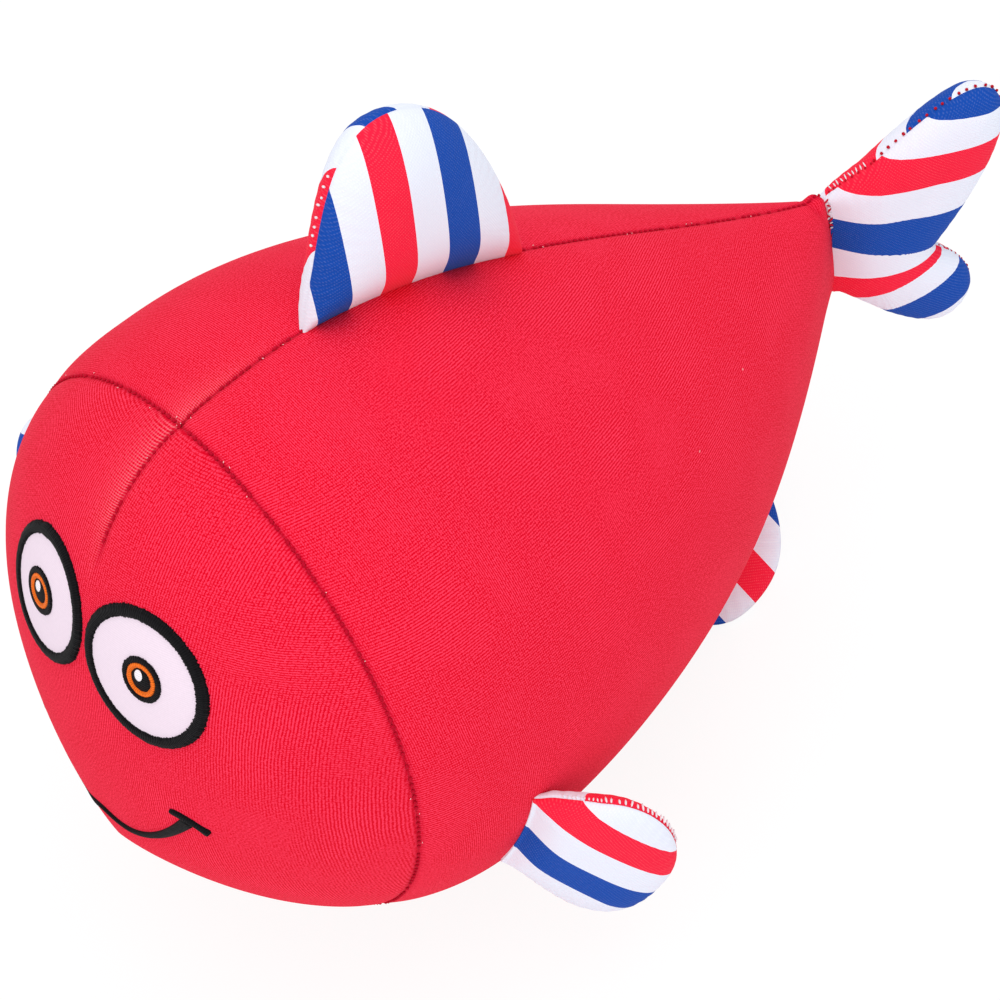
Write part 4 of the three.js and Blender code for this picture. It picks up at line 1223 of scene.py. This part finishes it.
seam_curves = [[seated(face_seam(turn), turn) for turn in np.linspace(-math.pi, math.pi, 400)]]
for angle, start, end in (
    (BACK, face_seam(BACK), 72 * MM),
    (BACK, 122 * MM, 199 * MM),
    (BACK, DART_STATION + 2 * MM, face_seam(BACK)),
    (BELLY, face_seam(BELLY), 131 * MM),
    (BELLY, 169 * MM, 199 * MM),
):
    seam_curves.append([seated(station, angle) for station in np.linspace(start, end, 160)])
crossing = seated(face_seam(BACK), BACK)[0]
dark_beads = bmesh.new()
pale_beads = bmesh.new()
for curve in seam_curves:
    for spot, along, normal in seam_points(curve, STITCH_PITCH):
        beside = normal.cross(along)
        jitter = chance.uniform(-1, 1, 4)
        if chance.random() < STITCH_CHANCE:
            run = along + beside * STITCH_TURN * jitter[1]
            length = (STITCH_LENGTH + STITCH_SPREAD * jitter[0]) * MM
            add_stitch(dark_beads, spot + normal * STITCH_RAISED, run, normal, length, STITCH_WIDTH)
        near_crossing = math.exp(-(spot - crossing).length / CROSSING_REACH)
        if chance.random() < SPECK_CHANCE + CROSSING_CHANCE * near_crossing:
            away = (0.6 + 0.25 * jitter[2]) * MM * (1 if chance.random() < SPECK_ONE_SIDE else -1)
            run = along * 0.6 + beside * jitter[1]
            speck = spot + normal * (0.42 + 0.08 * jitter[3]) * MM - beside * away
            add_stitch(pale_beads, speck, run, normal, (0.4 + 0.15 * jitter[0]) * MM, SPECK_WIDTH)
for name, beads, material, slot in (
    ("seam_thread", dark_beads, dark_thread, "red_cloth"),
    ("seam_specks", pale_beads, pale_thread, "white_thread"),
):
    beads.loops.layers.uv.new("thread")
    for vertex in beads.verts:
        vertex.co.z = max(0, vertex.co.z)
    piece = new_piece(name, beads, material, slot)
    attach(piece, "body")
    print(name, len(piece.data.polygons), "faces")

# %% [markdown]
# ## Thread on the fins
# A turned fin shows its closing thread along the edge: red dots on the white cloth, white strokes over the red
# print, and a few stitches round the root of the tail. An array along a curve could repeat one stitch evenly, but
# sewn ones vary, so each is set by itself along the edge that the fin builder kept. Sizes are in millimetres.

# %% Thread on the fins
COLLAR_STITCHES = 6


def sew_edge(beads, body, origin, start, end, pitch, over, length, width):
    """Stitches from start to end beyond a place on a fin's edge. over is how far behind the edge they lie."""
    points, front = fins[body][:2]
    heart = Vector(points.mean(0))
    lengths = run_lengths(points)
    for stop in np.arange(origin + start * MM, origin + end * MM, pitch * MM):
        jitter = chance.uniform(-1, 1, 3)
        before, spot, after = (
            Vector([float(np.interp(stop + step * MM, lengths, points[:, axis])) for axis in range(3)])
            for step in (-0.5, 0.15 * pitch * jitter[0], 0.5)
        )
        along = (after - before).normalized()
        outside = spot - heart
        outside = (outside - along * outside.dot(along) - front * outside.dot(front)).normalized()
        middle = spot - front * over * MM * (1 + 0.2 * jitter[1]) + outside * 0.12 * MM
        run = along * 0.25 * jitter[2] - front
        add_stitch(beads, middle, run, outside, length * MM * (1 + 0.25 * jitter[1]), width * MM)


def finish_stitches(name, beads, material, slot, body):
    beads.loops.layers.uv.new("thread")
    piece = new_piece(name, beads, material, slot)
    bend_ends = fins[body][2:]
    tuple(bend_ends[0])
    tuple(bend_ends[1])
    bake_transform(piece)
    print(name, len(piece.data.polygons), "faces")


tail_points, tail_front = fins["tail_fin"][:2]
notch = run_lengths(tail_points)[len(tail_points) // 2 + 1]
red_dots, white_strokes, dorsal_dots, fin_strokes = (bmesh.new() for beads in range(4))
for beads, *stitches in (
    (white_strokes, 0, 2, 12, 1.0, 0.9, 1.7, 0.36),
    (red_dots, 0, 1, 12.5, 1.6, 0.1, 0.7, 0.5),
    (red_dots, 0, 13.5, 52, 2.05, 0.25, 0.8, 0.8),
    (red_dots, notch, 3, 17, 1.5, 0.4, 0.8, 0.6),
    (white_strokes, notch, 3.7, 17, 1.5, 0.6, 0.9, 0.4),
):
    sew_edge(beads, "tail_fin", *stitches)
for step in range(COLLAR_STITCHES):
    across_root = -tail_half + (-0.6 + 1.5 * step) * MM
    wobble = chance.uniform(-0.4, 0.4) * MM
    spot = tail_seam + tail_across * across_root + tail_outward * (wobble - 0.3 * MM) + tail_front * 2.2 * MM
    slanted = tail_outward + tail_across * (1 if step % 2 else -1)
    add_stitch(red_dots, spot, slanted, tail_front, 1.5 * MM, 0.5 * MM)
    add_stitch(white_strokes, spot + tail_across * 0.9 * MM, tail_outward, tail_front, 0.9 * MM, 0.36 * MM)
sew_edge(dorsal_dots, "dorsal_fin", 0, 18.5, 34, 2.1, 1.0, 0.85, 0.6)
sew_edge(fin_strokes, "left_side_fin", 0, 6, 14, 0.8, 0.4, 0.9, 0.36)
sew_edge(fin_strokes, "left_side_fin", 0, 14, 38, 1.35, 0.7, 1.5, 0.5)
finish_stitches("tail_fin_dots", red_dots, red_thread, "red_cloth", "tail_fin")
finish_stitches("tail_fin_strokes", white_strokes, white_thread, "white_thread", "tail_fin")
finish_stitches("dorsal_fin_dots", dorsal_dots, white_thread, "white_thread", "dorsal_fin")
finish_stitches("left_side_fin_strokes", fin_strokes, white_thread, "white_thread", "left_side_fin")

# %% [markdown]
# ## Filling
# Nobody sees the filling of a sewn toy, but it gives the cloth its form. Copies of the frame's fibre solids are
# merged, refined and made lumpy, the float gets a softly rounded block of foam, and the squeaker keeps its own
# solids with a moulded finish.

# %% Filling
FIBRE_GAP, FIBRE_LUMP, FIBRE_LUMP_SCALE = 1.2, 0.5, 140
CORE_ROUND = 12 * MM
CORE_STEPS = 6


def make_plain_finish(name, color, roughness, grain):
    """A finish of one colour with a grain, from Object coordinates."""
    material, board = new_material(name)
    cells = noise_field(board, board.add("ShaderNodeTexCoord").outputs["Object"], grain, 5)
    color = tinted(board, color, board.math("SUBTRACT", cells, 0.5), 0.3)
    shade_cloth(board, color, cells, 0.5, roughness=roughness)
    return material


def fluff(node, body):
    """Fibre in place of one of the frame's filling solids."""
    tuft = bmesh.new()
    tuft.from_mesh(frame["nodes"][node].data)
    bmesh.ops.remove_doubles(tuft, verts=tuft.verts, dist=1e-6)
    bmesh.ops.subdivide_edges(tuft, edges=tuft.edges, cuts=1, use_grid_fill=True)
    tuft.normal_update()
    for vertex in tuft.verts:
        inwards = FIBRE_GAP + FIBRE_LUMP * noise.noise(vertex.co * FIBRE_LUMP_SCALE)
        vertex.co -= vertex.normal * MM * inwards
    piece = new_piece(node.replace("stuffing", "fibre").replace("wadding", "fibre"), tuft, fibre, "fibre")
    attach(piece, body)
    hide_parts(node)


fibre = make_plain_finish("loose_fibre", srgb(242, 242, 238), 0.95, 420)
foam = make_plain_finish("closed_cell_foam", srgb(214, 220, 226), 0.85, 900)
moulded = make_plain_finish("squeaker_plastic", srgb(233, 233, 228), 0.45, 160)
fluff("left_stuffing", "body")
fluff("right_stuffing", "body")
for body in ("dorsal_fin", "tail_fin", "belly_fin", "left_side_fin", "right_side_fin"):
    fluff(f"{body}_wadding", body)

core_low, core_high = (Vector(corner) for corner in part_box("float_core"))
core_radius, half_core = (core_high.x - core_low.x) / 2, (core_high.y - core_low.y) / 2
half_profile = [(0, -half_core)]
for step in range(CORE_STEPS + 1):
    turn = math.pi / 2 * step / CORE_STEPS
    outwards, along = (CORE_ROUND * (1 - math.sin(turn)), CORE_ROUND * (1 - math.cos(turn)))
    half_profile.append((core_radius - outwards, -half_core + along))
core = bmesh.new()
profile = [core.verts.new((x, y, 0)) for x, y in half_profile]
profile += [core.verts.new((x, -y, 0)) for x, y in reversed(half_profile)]
edges = [core.edges.new(pair) for pair in zip(profile[:-1], profile[1:])]
spin = dict(axis=(0, 1, 0), cent=(0, 0, 0), steps=48, angle=2 * math.pi, use_merge=True)
bmesh.ops.spin(core, geom=profile + edges, **spin)
bmesh.ops.remove_doubles(core, verts=core.verts, dist=1e-6)
bmesh.ops.recalc_face_normals(core, faces=core.faces)
bmesh.ops.translate(core, verts=core.verts, vec=(core_low + core_high) / 2)
float_block = new_piece("float_block", core, foam, "float_foam")
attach(float_block, "body")
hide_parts("float_core")
for node in ("squeaker_bulb", "squeaker_reed"):
    frame["nodes"][node].data.materials.clear()
    frame["nodes"][node].data.materials.append(moulded)
print("filling, float and squeaker finished")
